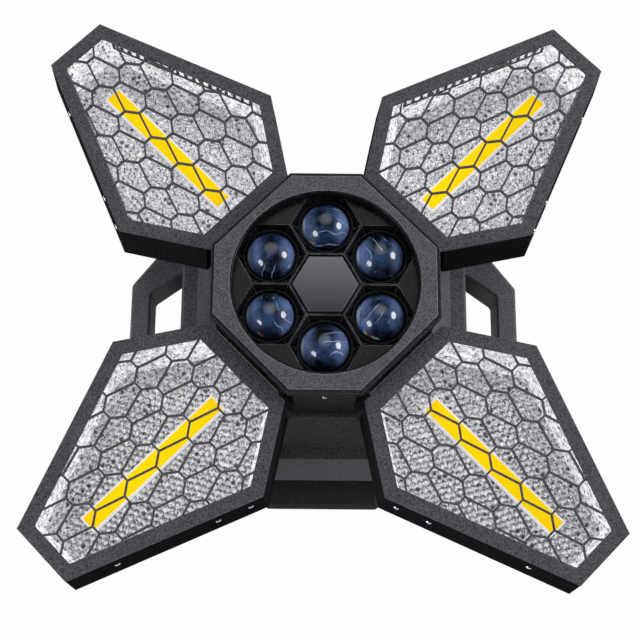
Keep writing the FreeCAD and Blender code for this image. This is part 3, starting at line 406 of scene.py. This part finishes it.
def phosphor(name):
    """Yellow silicone over the emitters, a little deeper towards the two ends, with a painted glow."""
    g = Graph(name)
    off = g.add("ShaderNodeAttribute", attribute_name="off_middle").outputs["Fac"]
    end = g.span(off, 0.78, 1.0)
    grain = g.noise(700.0, 2.0)
    body = g.mix(g.span(grain, 0.35, 0.7), (255, 212, 0), (255, 220, 8))
    body = g.mix(g.math("MULTIPLY", end, 0.35), body, (252, 186, 0))
    g.bump(grain, 0.00005, 0.4)
    # Painted glow.
    g.shader.inputs["Emission Strength"].default_value = STRIP_GLOW
    return g.finish(Base_Color=body, Emission_Color=body, Roughness=0.5, Specular_IOR_Level=0.05)


def white_ceramic(name):
    """White glazed board with a painted highlight along its edges and a painted glow."""
    g = Graph(name)
    grain = g.noise(500.0, 3.0)
    body = g.mix(g.span(grain, 0.35, 0.7), (232, 235, 242), (250, 251, 254))
    # Painted highlight along the edges.
    pale_mix, rounded = g.edges(0.0006)
    g.bump(grain, 0.00003, 0.5, rounded)
    # Painted glow.
    g.shader.inputs["Emission Strength"].default_value = BAR_GLOW
    return g.finish(Base_Color=g.mix(g.math("MULTIPLY", pale_mix, 0.4), body, (250, 250, 255)),
                    Emission_Color=body, Roughness=0.4)


def bare_metal(name, dark, pale, rough=0.3, streak=400.0):
    """Plain metal with drawn streaks and a painted highlight along its edges."""
    g = Graph(name)
    stretch = g.add("ShaderNodeMapping")
    g.link(g.place(), stretch.inputs["Vector"])
    stretch.inputs["Scale"].default_value = (1.0, 1.0, 0.08)
    lines = g.noise(streak, 3.0, 0.6, stretch.outputs["Vector"])
    body = g.mix(g.span(lines, 0.3, 0.7), dark, pale)
    # Painted highlight along the edges.
    pale_mix, rounded = g.edges(0.0005)
    body = g.mix(g.math("MULTIPLY", pale_mix, 0.5), body, (225, 226, 230))
    g.bump(lines, 0.00003, 0.5, rounded)
    sheen = g.span(lines, 0.3, 0.7, rough - 0.08, rough + 0.1)
    return g.finish(Base_Color=body, Metallic=1.0, Roughness=sheen)


def rubber(name):
    """Matt moulded rubber with a fine grain."""
    g = Graph(name)
    fine = g.noise(600.0, 4.0, 0.7)
    body = g.mix(g.span(fine, 0.35, 0.7), (20, 20, 21), (44, 43, 43))
    g.bump(fine, 0.00015, 0.7)
    return g.finish(Base_Color=body, Roughness=0.86)


def circuit(name, ground, trace):
    """Lacquered board with a faint run of tracks under the lacquer."""
    g = Graph(name)
    brick = g.add("ShaderNodeTexBrick")
    g.link(g.place(), brick.inputs["Vector"])
    brick.inputs["Scale"].default_value = 260.0
    brick.inputs["Mortar Size"].default_value = 0.06
    pale_mix = g.noise(90.0, 3.0)
    body = g.mix(g.math("MULTIPLY", brick.outputs["Fac"], 0.6), ground, trace)
    body = g.mix(g.span(pale_mix, 0.4, 0.8, 0.0, 0.3), body, trace)
    g.bump(brick.outputs["Fac"], 0.00004, 0.5)
    return g.finish(Base_Color=body, Roughness=0.34, Coat_Weight=0.5)


def smooth_plastic(name, tint, pale, rough=0.4):
    """Plain moulded plastic, faintly clouded, with a painted highlight along its edges."""
    g = Graph(name)
    cloud = g.noise(320.0, 3.0)
    body = g.mix(g.span(cloud, 0.3, 0.75), tint, pale)
    # Painted highlight along the edges.
    pale_mix, rounded = g.edges(0.0006)
    body = g.mix(g.math("MULTIPLY", pale_mix, 0.35), body, pale)
    g.bump(g.noise(1100.0, 2.0), 0.00003, 0.5, rounded)
    sheen = g.span(cloud, 0.3, 0.7, rough - 0.06, rough + 0.08)
    return g.finish(Base_Color=body, Roughness=sheen)


def smoked_window(name):
    """Dark clear window with faint smears."""
    g = Graph(name)
    smear = g.noise(70.0, 4.0, 0.7)
    body = g.mix(g.span(smear, 0.4, 0.8), (10, 12, 15), (24, 28, 34))
    return g.finish(Base_Color=body, Roughness=g.span(smear, 0.3, 0.8, 0.06, 0.2), Coat_Weight=0.6)


HOUSING = textured_plastic("housing_plastic", (42, 41, 46), (103, 102, 109), (196, 195, 202),
                           edge_radius=0.0012, line=1.0)
# A lighter copy of the charcoal plastic: painted light on the base cover and handles, which sit in
# shade under the pod and wings.
COVER = textured_plastic("cover_plastic", (52, 51, 56), (122, 121, 128), (176, 175, 182))
FRAME = textured_plastic("frame_plastic", (34, 33, 37), (94, 93, 100), (150, 149, 156),
                         edge_radius=0.0006, line=0.45)
# Darker copies of the charcoal plastic: painted shade on the walls of the wing shells and pod, which
# face away from the lamps.
SHELL = textured_plastic("shell_plastic", (15, 15, 17), (50, 50, 54), (104, 103, 110),
                         shine=0.0, line=0.5)
BODY = textured_plastic("pod_plastic", (16, 16, 18), (54, 53, 58), (140, 139, 146), shine=0.05)
GLOSS = gloss_black("gloss_black_plastic")
HUB = satin_cap("hub_satin")
LENS = lens_glass("lens_optic")
CUPS = silvered("reflector_cups", (206, 207, 213), (254, 254, 255), metal=0.85, glow=CUP_GLOW,
                cups=True)
WALL = silvered("reflector_wall", (176, 176, 182), (254, 254, 255), metal=0.15, rough=(0.2, 0.32),
                glow=WALL_GLOW)
RING = gloss_black("ring_black", 0.5)
PHOSPHOR = phosphor("strip_phosphor")
CERAMIC = white_ceramic("bar_ceramic")
STEEL = bare_metal("hinge_steel", (120, 121, 125), (178, 179, 184))
CHROME = bare_metal("screw_chrome", (168, 170, 176), (236, 238, 244), 0.18, 900.0)
PLATE = textured_plastic("plate_coat", (30, 30, 32), (62, 62, 65), (140, 140, 144), rough=0.5)
RUBBER = rubber("foot_rubber")
CASE = bare_metal("supply_case_zinc", (132, 136, 138), (186, 190, 192), 0.38, 150.0)
SINK = bare_metal("sink_aluminium", (150, 152, 156), (204, 206, 210), 0.34, 240.0)
BOARD = circuit("control_board_lacquer", (16, 62, 38), (60, 118, 76))
LED_BOARD = circuit("led_board_lacquer", (206, 208, 206), (232, 234, 232))
FAN = smooth_plastic("fan_plastic", (24, 24, 26), (52, 52, 55))
BUTTON = smooth_plastic("button_plastic", (150, 151, 154), (196, 197, 200))
BLUE = smooth_plastic("power_inlet_plastic", (22, 70, 156), (54, 108, 196))
PALE = smooth_plastic("power_outlet_plastic", (176, 180, 184), (214, 217, 220))
BLACK = smooth_plastic("socket_plastic", (22, 22, 24), (58, 58, 62))
WINDOW = smoked_window("display_smoke")


def coat(material, *names):
    """Gives a material to CAD nodes, in every slot."""
    for name in names:
        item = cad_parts[name]
        if not item.material_slots:
            item.data.materials.append(material)
        for slot in item.material_slots:
            slot.material = material


coat(HOUSING, "pod_bezel")
coat(COVER, "base_cover", "handle_left", "handle_right")
coat(BODY, "pod_housing")
coat(PLATE, "base_plate")
coat(RUBBER, "feet")
coat(CASE, "power_supply")
coat(BOARD, "control_board")
coat(WINDOW, "display_window")
coat(BUTTON, "button_menu", "button_down", "button_up", "button_enter")
coat(BLACK, "signal_output", "signal_input", "fuse_holder")
coat(BLUE, "power_inlet")
coat(PALE, "power_outlet")
coat(GLOSS, "lens_plate")
coat(HUB, "hub_cap")
coat(LENS, *[f"lens_{index + 1}" for index in range(LENS_COUNT)])
coat(LED_BOARD, "led_board")
coat(SINK, "heat_sink")
coat(FAN, "fan_frame", "fan_rotor")
for wing in WING_ANGLES:
    coat(FRAME, f"wing_{wing}_frame")
    coat(SHELL, f"wing_{wing}_shell")
    coat(CERAMIC, f"wing_{wing}_light_bar")
    coat(STEEL, f"hinge_{wing}_pod_leaf", f"hinge_{wing}_wing_leaf", f"hinge_{wing}_pin")


# ---------------------------------------------------------------- mesh helpers

def piece(name, mesh, material, body, matrix=None, smooth=True):
    """A new object of a mesh, set in its place in the row frame and riding on a body."""
    if matrix is not None:
        mesh = mesh.copy()
        mesh.transform(matrix)
    item = bpy.data.objects.new(name, mesh)
    bpy.context.scene.collection.objects.link(item)
    if not mesh.materials:
        mesh.materials.append(material)
    if smooth:
        mesh.shade_smooth()
    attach(item, body)
    return item


def mesh_of(name, points, faces):
    """A mesh from points in millimetres."""
    mesh = bpy.data.meshes.new(name)
    mesh.from_pydata([Vector(point) * MM for point in points], [], faces)
    mesh.validate()
    return mesh


def wing_matrix(wing):
    """From a wing's own frame to the row frame, in metres."""
    turn = Matrix.Rotation(math.radians(WING_ANGLES[wing]), 4, "Z")
    return turn @ Matrix.Translation((WING_REACH * MM, 0.0, 0.0))


def inset_outline(insets, hinge_edge=TRAY_HINGE_EDGE):
    """Corners of the wing's plan, each side drawn in by its own distance."""
    plan = [Vector((0.0, -WING_INNER_HALF)), Vector((WING_SHOULDER[0], -WING_SHOULDER[1])),
            Vector((WING_TIP[0], -WING_TIP[1])), Vector(WING_TIP), Vector(WING_SHOULDER),
            Vector((0.0, WING_INNER_HALF))]
    lines = []
    for index, corner in enumerate(plan):
        ahead = plan[(index + 1) % len(plan)] - corner
        ahead.normalize()
        inward = Vector((-ahead.y, ahead.x))
        reach = insets[index] if index < len(plan) - 1 else max(insets[index], hinge_edge)
        lines.append((corner + inward * reach, ahead))
    corners = []
    for index, (point, ahead) in enumerate(lines):
        before, back = lines[index - 1]
        cross = back.x * ahead.y - back.y * ahead.x
        gap = point - before
        corners.append(before + back * ((gap.x * ahead.y - gap.y * ahead.x) / cross))
    return corners


def inside(point, corners):
    """Whether a point lies within a convex outline that turns anticlockwise."""
    for index, corner in enumerate(corners):
        edge = corners[(index + 1) % len(corners)] - corner
        off = point - corner
        if edge.x * off.y - edge.y * off.x < 0.0:
            return False
    return True


# ---------------------------------------------------------------- reflectors

def cup_height(x, y, centres):
    """Height over the cup floors, share of the way to the cup's edge, and the cup's tone."""
    row = round(y / (CUP_PITCH * CUP_ROW))
    best = None
    for near_row in (row - 1, row, row + 1):
        shift = 0.5 if near_row % 2 else 0.0
        column = round(x / CUP_PITCH - shift)
        for near_column in (column - 1, column, column + 1):
            cx, cy, depth, tone = centres(near_row, near_column, shift)
            off = (x - cx) ** 2 + (y - cy) ** 2
            if best is None or off < best[0]:
                best = (off, depth, tone)
    off, depth, tone = best
    share = off / (CUP_PITCH * CUP_REACH) ** 2
    return depth * min(share, CUP_RIDGE), min(share, 1.0), tone


def make_centres(seed):
    """Centres of the cups by row and column, nudged off the lattice in a fixed way."""
    known = {}

    def centre(row, column, shift):
        key = (row, column)
        if key not in known:
            place = random.Random(seed * 7919 + row * 131 + column)
            known[key] = ((column + shift) * CUP_PITCH + place.uniform(-CUP_NUDGE, CUP_NUDGE),
                          row * CUP_PITCH * CUP_ROW + place.uniform(-CUP_NUDGE, CUP_NUDGE),
                          CUP_DEPTH * place.uniform(*CUP_DEPTH_SPREAD),
                          DARK_TONE if place.random() < DARK_CUPS else place.uniform(0.0, PALE_TONE))
        return known[key]

    return centre


def cup_floor():
    """The tray's floor, a close grid pressed into cups."""
    edge = inset_outline([inset - FLOOR_OVERLAP for inset in TRAY_FLOOR_INSETS])
    centres = make_centres(CUP_SEED)
    step = CUP_GRID
    columns = int(WING_TIP[0] / step) + 2
    rows = int(WING_SHOULDER[1] * 2 / step) + 2
    points, shares, tones = [], [], []
    index_of = {}
    for i in range(columns):
        for j in range(rows):
            x, y = i * step, j * step - WING_SHOULDER[1]
            if inside(Vector((x, y)), edge):
                index_of[(i, j)] = len(points)
                height, share, tone = cup_height(x, y, centres)
                points.append((x, y, TRAY_FLOOR - CUP_DEPTH + height))
                shares.append(share)
                tones.append(tone)
    faces = []
    for (i, j) in index_of:
        corners = [(i, j), (i + 1, j), (i + 1, j + 1), (i, j + 1)]
        if all(corner in index_of for corner in corners):
            faces.append([index_of[corner] for corner in corners])
    mesh = mesh_of("cup_floor", points, faces)
    for name, values in (("cup", shares), ("tone", tones)):
        mesh.attributes.new(name, "FLOAT", "POINT").data.foreach_set("value", values)
    return mesh


def tray_walls():
    """The tray's sloping sides in shallow ripples."""
    low = inset_outline(TRAY_FLOOR_INSETS)
    high = inset_outline([TRAY_RIM_INSET] * len(TRAY_FLOOR_INSETS))
    foot = TRAY_FLOOR - WALL_SINK
    points, faces = [], []
    for side in range(len(low)):
        after = (side + 1) % len(low)
        run = (low[after] - low[side]).length
        steps = max(int(run / WALL_STEP), 2)
        inward = (low[after] - low[side]).normalized()
        inward = Vector((-inward.y, inward.x))
        first = len(points)
        for i in range(steps + 1):
            for j in range(WALL_RISES + 1):
                t = j / WALL_RISES
                bottom = low[side].lerp(low[after], i / steps)
                top = high[side].lerp(high[after], i / steps)
                spot = bottom.lerp(top, t)
                wave = 0.0
                if 0 < i < steps:
                    sample = Vector((spot.x, spot.y, t * RIPPLE_RISE)) * RIPPLE_SCALE
                    wave = RIPPLE_DEPTH * noise.noise(sample)
                spot = spot + inward * wave
                points.append((spot.x, spot.y, foot + (TRAY_RIM - foot) * t))
        for i in range(steps):
            for j in range(WALL_RISES):
                a = first + i * (WALL_RISES + 1) + j
                faces.append([a, a + WALL_RISES + 1, a + WALL_RISES + 2, a + 1])
    return mesh_of("tray_walls", points, faces)


def comb_strip():
    """A thin comb that hangs from the frame's inner edge along the two long sides."""
    points, faces = [], []
    line = inset_outline([FRAME_BORDER + COMB_INSET] * len(TRAY_FLOOR_INSETS))

    def box(start, along, inward, u0, u1, z0, z1):
        base = len(points)
        for z in (z0, z1):
            for u, w in ((u0, -0.5), (u1, -0.5), (u1, 0.5), (u0, 0.5)):
                spot = start + along * u + inward * (w * COMB_THICK)
                points.append((spot.x, spot.y, z))
        faces.extend([[base + 3, base + 2, base + 1, base], [base + 4, base + 5, base + 6, base + 7]])
        for k in range(4):
            n = (k + 1) % 4
            faces.append([base + k, base + n, base + 4 + n, base + 4 + k])

    for side in (1, 3):
        start, stop = line[side], line[side + 1]
        along = (stop - start).normalized()
        inward = Vector((-along.y, along.x))
        run = (stop - start).length
        count = int((run - 2 * COMB_START) / COMB_PITCH)
        end = COMB_START + count * COMB_PITCH + COMB_TOOTH
        box(start, along, inward, COMB_START, end, COMB_LOW, COMB_RAIL_TOP)
        for tooth in range(count + 1):
            u = COMB_START + COMB_PITCH * tooth
            box(start, along, inward, u, u + COMB_TOOTH, COMB_RAIL_TOP, FRAME_BACK)
    return mesh_of("comb_strip", points, faces)


FLOOR_MESH = cup_floor()
WALL_MESH = tray_walls()
COMB_MESH = comb_strip()


def strip_mesh():
    """Phosphor strip: a flat ribbon with softly rounded long edges and square ends."""
    start = BAR_START + STRIP_END_GAP
    end = BAR_START + BAR_LENGTH - STRIP_END_GAP
    section = []
    half = STRIP_WIDTH / 2
    for step in range(9):
        angle = math.pi * step / 8
        reach = half - STRIP_ROUND + STRIP_ROUND * abs(math.cos(angle))
        section.append((math.copysign(reach, -math.cos(angle)) if step != 4 else 0.0,
                        BAR_TOP - STRIP_SINK + STRIP_CROWN * math.sin(angle) ** 0.5))
    points, faces = [], []
    for i in range(STRIP_STEPS + 1):
        x = start + (end - start) * i / STRIP_STEPS
        for y, z in section:
            points.append((x, y, z))
    width = len(section)
    for i in range(STRIP_STEPS):
        for j in range(width - 1):
            a = i * width + j
            faces.append([a, a + 1, a + width + 1, a + width])
    faces.append(list(range(width)))
    faces.append(list(range(STRIP_STEPS * width, (STRIP_STEPS + 1) * width))[::-1])
    mesh = mesh_of("phosphor_strip", points, faces)
    middle, reach = (start + end) / 2, (end - start) / 2
    shares = [abs(point[0] - middle) / reach for point in points]
    mesh.attributes.new("off_middle", "FLOAT", "POINT").data.foreach_set("value", shares)
    return mesh


STRIP_MESH = strip_mesh()

for wing in WING_ANGLES:
    place = wing_matrix(wing)
    floor = piece(f"reflector_{wing}_floor", FLOOR_MESH, CUPS, f"wing_{wing}", place)
    walls = piece(f"reflector_{wing}_walls", WALL_MESH, WALL, f"wing_{wing}", place)
    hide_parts(f"wing_{wing}_reflector")
    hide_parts(f"wing_{wing}_reflector")
    if wing.startswith("back"):
        piece(f"frame_{wing}_comb", COMB_MESH, FRAME, f"wing_{wing}", place, smooth=False)
    strip = piece(f"light_strip_{wing}", STRIP_MESH, PHOSPHOR, f"wing_{wing}", place)


# ---------------------------------------------------------------- screws

def screw_mesh(radius=SCREW_RADIUS):
    """Pan-head screw with a cross recess, its axis along +Z and its seat at z = 0."""
    points, faces = [], []
    rings, count = 10, 32
    for ring in range(rings + 1):
        t = ring / rings
        for step in range(count):
            a = 2 * math.pi * step / count
            x, y = radius * t * math.cos(a), radius * t * math.sin(a)
            z = SCREW_CROWN * radius * math.sqrt(max(1.0 - t ** SCREW_ROUND, 0.0))
            near, far = sorted((abs(x), abs(y)))
            if near < SLOT_HALF * radius and far < SLOT_REACH * radius:
                z -= SLOT_DEPTH * radius
            points.append((x, y, z))
    for ring in range(rings):
        for step in range(count):
            a = ring * count + step
            b = ring * count + (step + 1) % count
            faces.append([a, a + count, b + count, b])
    return mesh_of("cross_screw", points, faces)


SCREW_MESH = screw_mesh()


def screw(name, body, spot, outward, roll=0.0, size=1.0):
    """A screw at a spot in millimetres, its head facing outward."""
    turn = Vector(outward).normalized().to_track_quat("Z", "Y").to_matrix().to_4x4()
    place = (Matrix.Translation(Vector(spot) * MM) @ turn @ Matrix.Rotation(roll, 4, "Z")
             @ Matrix.Scale(size, 4))
    return piece(name, SCREW_MESH, CHROME, body, place)


def ring_mesh(name, section, count):
    """A ring turned about +Z from a section of (radius, height) pairs in millimetres."""
    points, faces = [], []
    for step in range(count):
        a = 2 * math.pi * step / count
        for r, z in section:
            points.append((r * math.cos(a), r * math.sin(a), z))
    width = len(section)
    for step in range(count):
        for k in range(width - 1):
            a = step * width + k
            b = (step + 1) % count * width + k
            faces.append([a, b, b + 1, a + 1])
    return mesh_of(name, points, faces)


LENS_RING = [(24.7, LENS_SEAT + 0.2), (25.5, LENS_SEAT + 2.2), (26.2, LENS_SEAT + 3.4),
             (27.0, LENS_SEAT + 4.2), (27.9, LENS_SEAT + 4.4), (28.6, LENS_SEAT + 3.8),
             (28.7, LENS_SEAT + 2.6)]
RING_MESH = ring_mesh("lens_ring", LENS_RING, RING_STEPS)
for index in range(LENS_COUNT):
    angle = math.radians(90.0 - 360.0 / LENS_COUNT * index)
    spot = Vector((math.cos(angle), math.sin(angle), 0.0)) * LENS_CIRCLE * MM
    piece(f"lens_ring_{index + 1}", RING_MESH, RING, "base", Matrix.Translation(spot))

MOUTH_LIP = [(MOUTH_RADIUS - 1.6, MOUTH_LOW), (MOUTH_RADIUS - 2.0, MOUTH_LOW + 0.6),
             (MOUTH_RADIUS - 2.0, MOUTH_TOP - 1.4), (MOUTH_RADIUS - 1.5, MOUTH_TOP - 0.6),
             (MOUTH_RADIUS - 0.7, MOUTH_TOP - 0.3), (MOUTH_RADIUS, MOUTH_TOP - 0.5)]
piece("mouth_lip", ring_mesh("mouth_lip", MOUTH_LIP, MOUTH_STEPS), RING, "base")


def screw_at(name, body, node, start, toward, size=1.0, roll=0.0):
    """A screw where a straight line from a start, in millimetres, first meets a node."""
    hit, spot, normal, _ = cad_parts[node].ray_cast(Vector(start) * MM, Vector(toward).normalized())
    if not hit:
        raise SystemExit(f"no face of {node} for {name}")
    screw(name, body, spot / MM - normal * SCREW_SINK, normal, roll, size)


def wing_screws(wing):
    """Three screws in each long wall of a wing's shell, and one in its tip."""
    turn = Matrix.Rotation(math.radians(WING_ANGLES[wing]), 3, "Z")
    shift = Vector((WING_REACH, 0.0, 0.0))
    run = (Vector(WING_SHOULDER) - Vector(WING_TIP)).normalized()
    body, node = f"wing_{wing}", f"wing_{wing}_shell"
    out = (abs(run.y), abs(run.x))
    count = 0
    for side in (-1.0, 1.0):
        for share in SCREW_SHARES:
            flat = Vector(WING_TIP).lerp(Vector(WING_SHOULDER), share)
            count += 1
            off = Vector((flat.x + SCREW_OUTSIDE * out[0], (flat.y + SCREW_OUTSIDE * out[1]) * side,
                          WING_SCREW_HEIGHT))
            toward = turn @ Vector((-out[0], -out[1] * side, 0.0))
            screw_at(f"screw_{wing}_{count}", body, node, turn @ (shift + off), toward, SCREW_SIZE,
                     SCREW_TURN * count)
    off = Vector((WING_TIP[0] + SCREW_OUTSIDE, 0.0, WING_SCREW_HEIGHT))
    toward = turn @ Vector((-1.0, 0.0, 0.0))
    screw_at(f"screw_{wing}_tip", body, node, turn @ (shift + off), toward, SCREW_SIZE, TIP_SCREW_TURN)


for wing in WING_ANGLES:
    wing_screws(wing)
for index, (x, y) in enumerate([(0.0, -1.0), (0.0, 1.0), (1.0, 0.0), (-1.0, 0.0)]):
    start = (x * POD_OUTSIDE, y * POD_OUTSIDE, POD_SCREW_HEIGHT)
    screw_at(f"screw_pod_{index + 1}", "base", "pod_housing", start, (-x, -y, 0.0), SCREW_SIZE)


# ---------------------------------------------------------------- stage, light and camera

def make_floor():
    """Plain floor, white to the camera, that keeps the object's shadow."""
    corners = [(-FLOOR_HALF, -FLOOR_HALF, 0), (FLOOR_HALF, -FLOOR_HALF, 0),
               (FLOOR_HALF, FLOOR_HALF, 0), (-FLOOR_HALF, FLOOR_HALF, 0)]
    mesh = mesh_of("floor", corners, [[0, 1, 2, 3]])
    item = bpy.data.objects.new("floor", mesh)
    bpy.context.scene.collection.objects.link(item)
    material = bpy.data.materials.new("floor_paper")
    material.use_nodes = True
    tree = material.node_tree
    tree.nodes.clear()
    path = tree.nodes.new("ShaderNodeLightPath")
    seen = tree.nodes.new("ShaderNodeMath")
    seen.operation = "MAXIMUM"
    tree.links.new(path.outputs["Is Camera Ray"], seen.inputs[0])
    tree.links.new(path.outputs["Is Glossy Ray"], seen.inputs[1])
    also = tree.nodes.new("ShaderNodeMath")
    also.operation = "MAXIMUM"
    tree.links.new(seen.outputs[0], also.inputs[0])
    tree.links.new(path.outputs["Is Transmission Ray"], also.inputs[1])
    share = tree.nodes.new("ShaderNodeMath")
    share.operation = "MULTIPLY"
    share.inputs[1].default_value = FLOOR_WHITE
    tree.links.new(also.outputs[0], share.inputs[0])
    plain = tree.nodes.new("ShaderNodeBsdfDiffuse")
    plain.inputs["Color"].default_value = (FLOOR_TONE, FLOOR_TONE, FLOOR_TONE, 1.0)
    glow = tree.nodes.new("ShaderNodeEmission")
    glow.inputs["Strength"].default_value = 1.0
    blend = tree.nodes.new("ShaderNodeMixShader")
    out = tree.nodes.new("ShaderNodeOutputMaterial")
    tree.links.new(share.outputs[0], blend.inputs[0])
    tree.links.new(plain.outputs[0], blend.inputs[1])
    tree.links.new(glow.outputs[0], blend.inputs[2])
    tree.links.new(blend.outputs[0], out.inputs[0])
    mesh.materials.append(material)


def make_world():
    """White to the camera; to the object a soft room, brightest overhead and a little behind."""
    world = bpy.data.worlds.new("room")
    bpy.context.scene.world = world
    world.use_nodes = True
    tree = world.node_tree
    tree.nodes.clear()
    coords = tree.nodes.new("ShaderNodeTexCoord")
    lean = tree.nodes.new("ShaderNodeVectorMath")
    lean.operation = "DOT_PRODUCT"
    lean.inputs[1].default_value = SKY_LEAN
    tree.links.new(coords.outputs["Generated"], lean.inputs[0])
    path = tree.nodes.new("ShaderNodeLightPath")

    def room(low, high, start, end):
        span = tree.nodes.new("ShaderNodeMapRange")
        span.inputs["From Min"].default_value = start
        span.inputs["From Max"].default_value = end
        span.inputs["To Min"].default_value = low
        span.inputs["To Max"].default_value = high
        tree.links.new(lean.outputs["Value"], span.inputs["Value"])
        sky = tree.nodes.new("ShaderNodeBackground")
        tree.links.new(span.outputs["Result"], sky.inputs["Strength"])
        return sky.outputs[0]

    diffuse = room(*SKY_DIFFUSE)
    gloss = room(*SKY_GLOSS)
    white = tree.nodes.new("ShaderNodeBackground")
    first = tree.nodes.new("ShaderNodeMixShader")
    tree.links.new(path.outputs["Is Glossy Ray"], first.inputs[0])
    tree.links.new(diffuse, first.inputs[1])
    tree.links.new(gloss, first.inputs[2])
    second = tree.nodes.new("ShaderNodeMixShader")
    tree.links.new(path.outputs["Is Camera Ray"], second.inputs[0])
    tree.links.new(first.outputs[0], second.inputs[1])
    tree.links.new(white.outputs[0], second.inputs[2])
    white.inputs["Color"].default_value = (1.0, 1.0, 1.0, 1.0)
    out = tree.nodes.new("ShaderNodeOutputWorld")
    tree.links.new(second.outputs[0], out.inputs[0])


def soft_box(name, spot, target, width, height, radiance, shape="DISK"):
    """An even lamp of a given radiance, facing a target."""
    lamp = bpy.data.lights.new(name, "AREA")
    lamp.shape = shape
    lamp.size = width
    lamp.size_y = height
    share = math.pi / 4 if shape == "DISK" else 1.0
    lamp.energy = radiance * math.pi * width * height * share
    item = bpy.data.objects.new(name, lamp)
    bpy.context.scene.collection.objects.link(item)
    aim = (Vector(target) - Vector(spot)).to_track_quat("-Z", "Y")
    item.matrix_world = Matrix.Translation(spot) @ aim.to_matrix().to_4x4()
    return item


def make_light():
    """A wide box overhead behind, which gloss doesn't show, and a round lamp on each side."""
    back = soft_box("soft_box_back", *BACK_BOX, "RECTANGLE")
    back.visible_glossy = False
    soft_box("soft_box_left", *LEFT_LAMP)
    soft_box("soft_box_right", *RIGHT_LAMP)


def make_camera():
    """Camera at the photograph's place, nearly overhead."""
    lens = bpy.data.cameras.new("camera")
    lens.sensor_width = CAMERA_SENSOR
    lens.lens = CAMERA_LENS
    lens.clip_start = CAMERA_NEAR
    item = bpy.data.objects.new("camera", lens)
    bpy.context.scene.collection.objects.link(item)
    pitch, roll, yaw = CAMERA_TURN
    turn = Matrix.Rotation(pitch, 4, "X") @ Matrix.Rotation(roll, 4, "Y") @ Matrix.Rotation(yaw, 4, "Z")
    item.matrix_world = Matrix.Translation(CAMERA_SPOT) @ turn
    bpy.context.scene.camera = item


make_floor()
make_world()
make_light()
make_camera()
bpy.context.scene.view_settings.view_transform = "Standard"
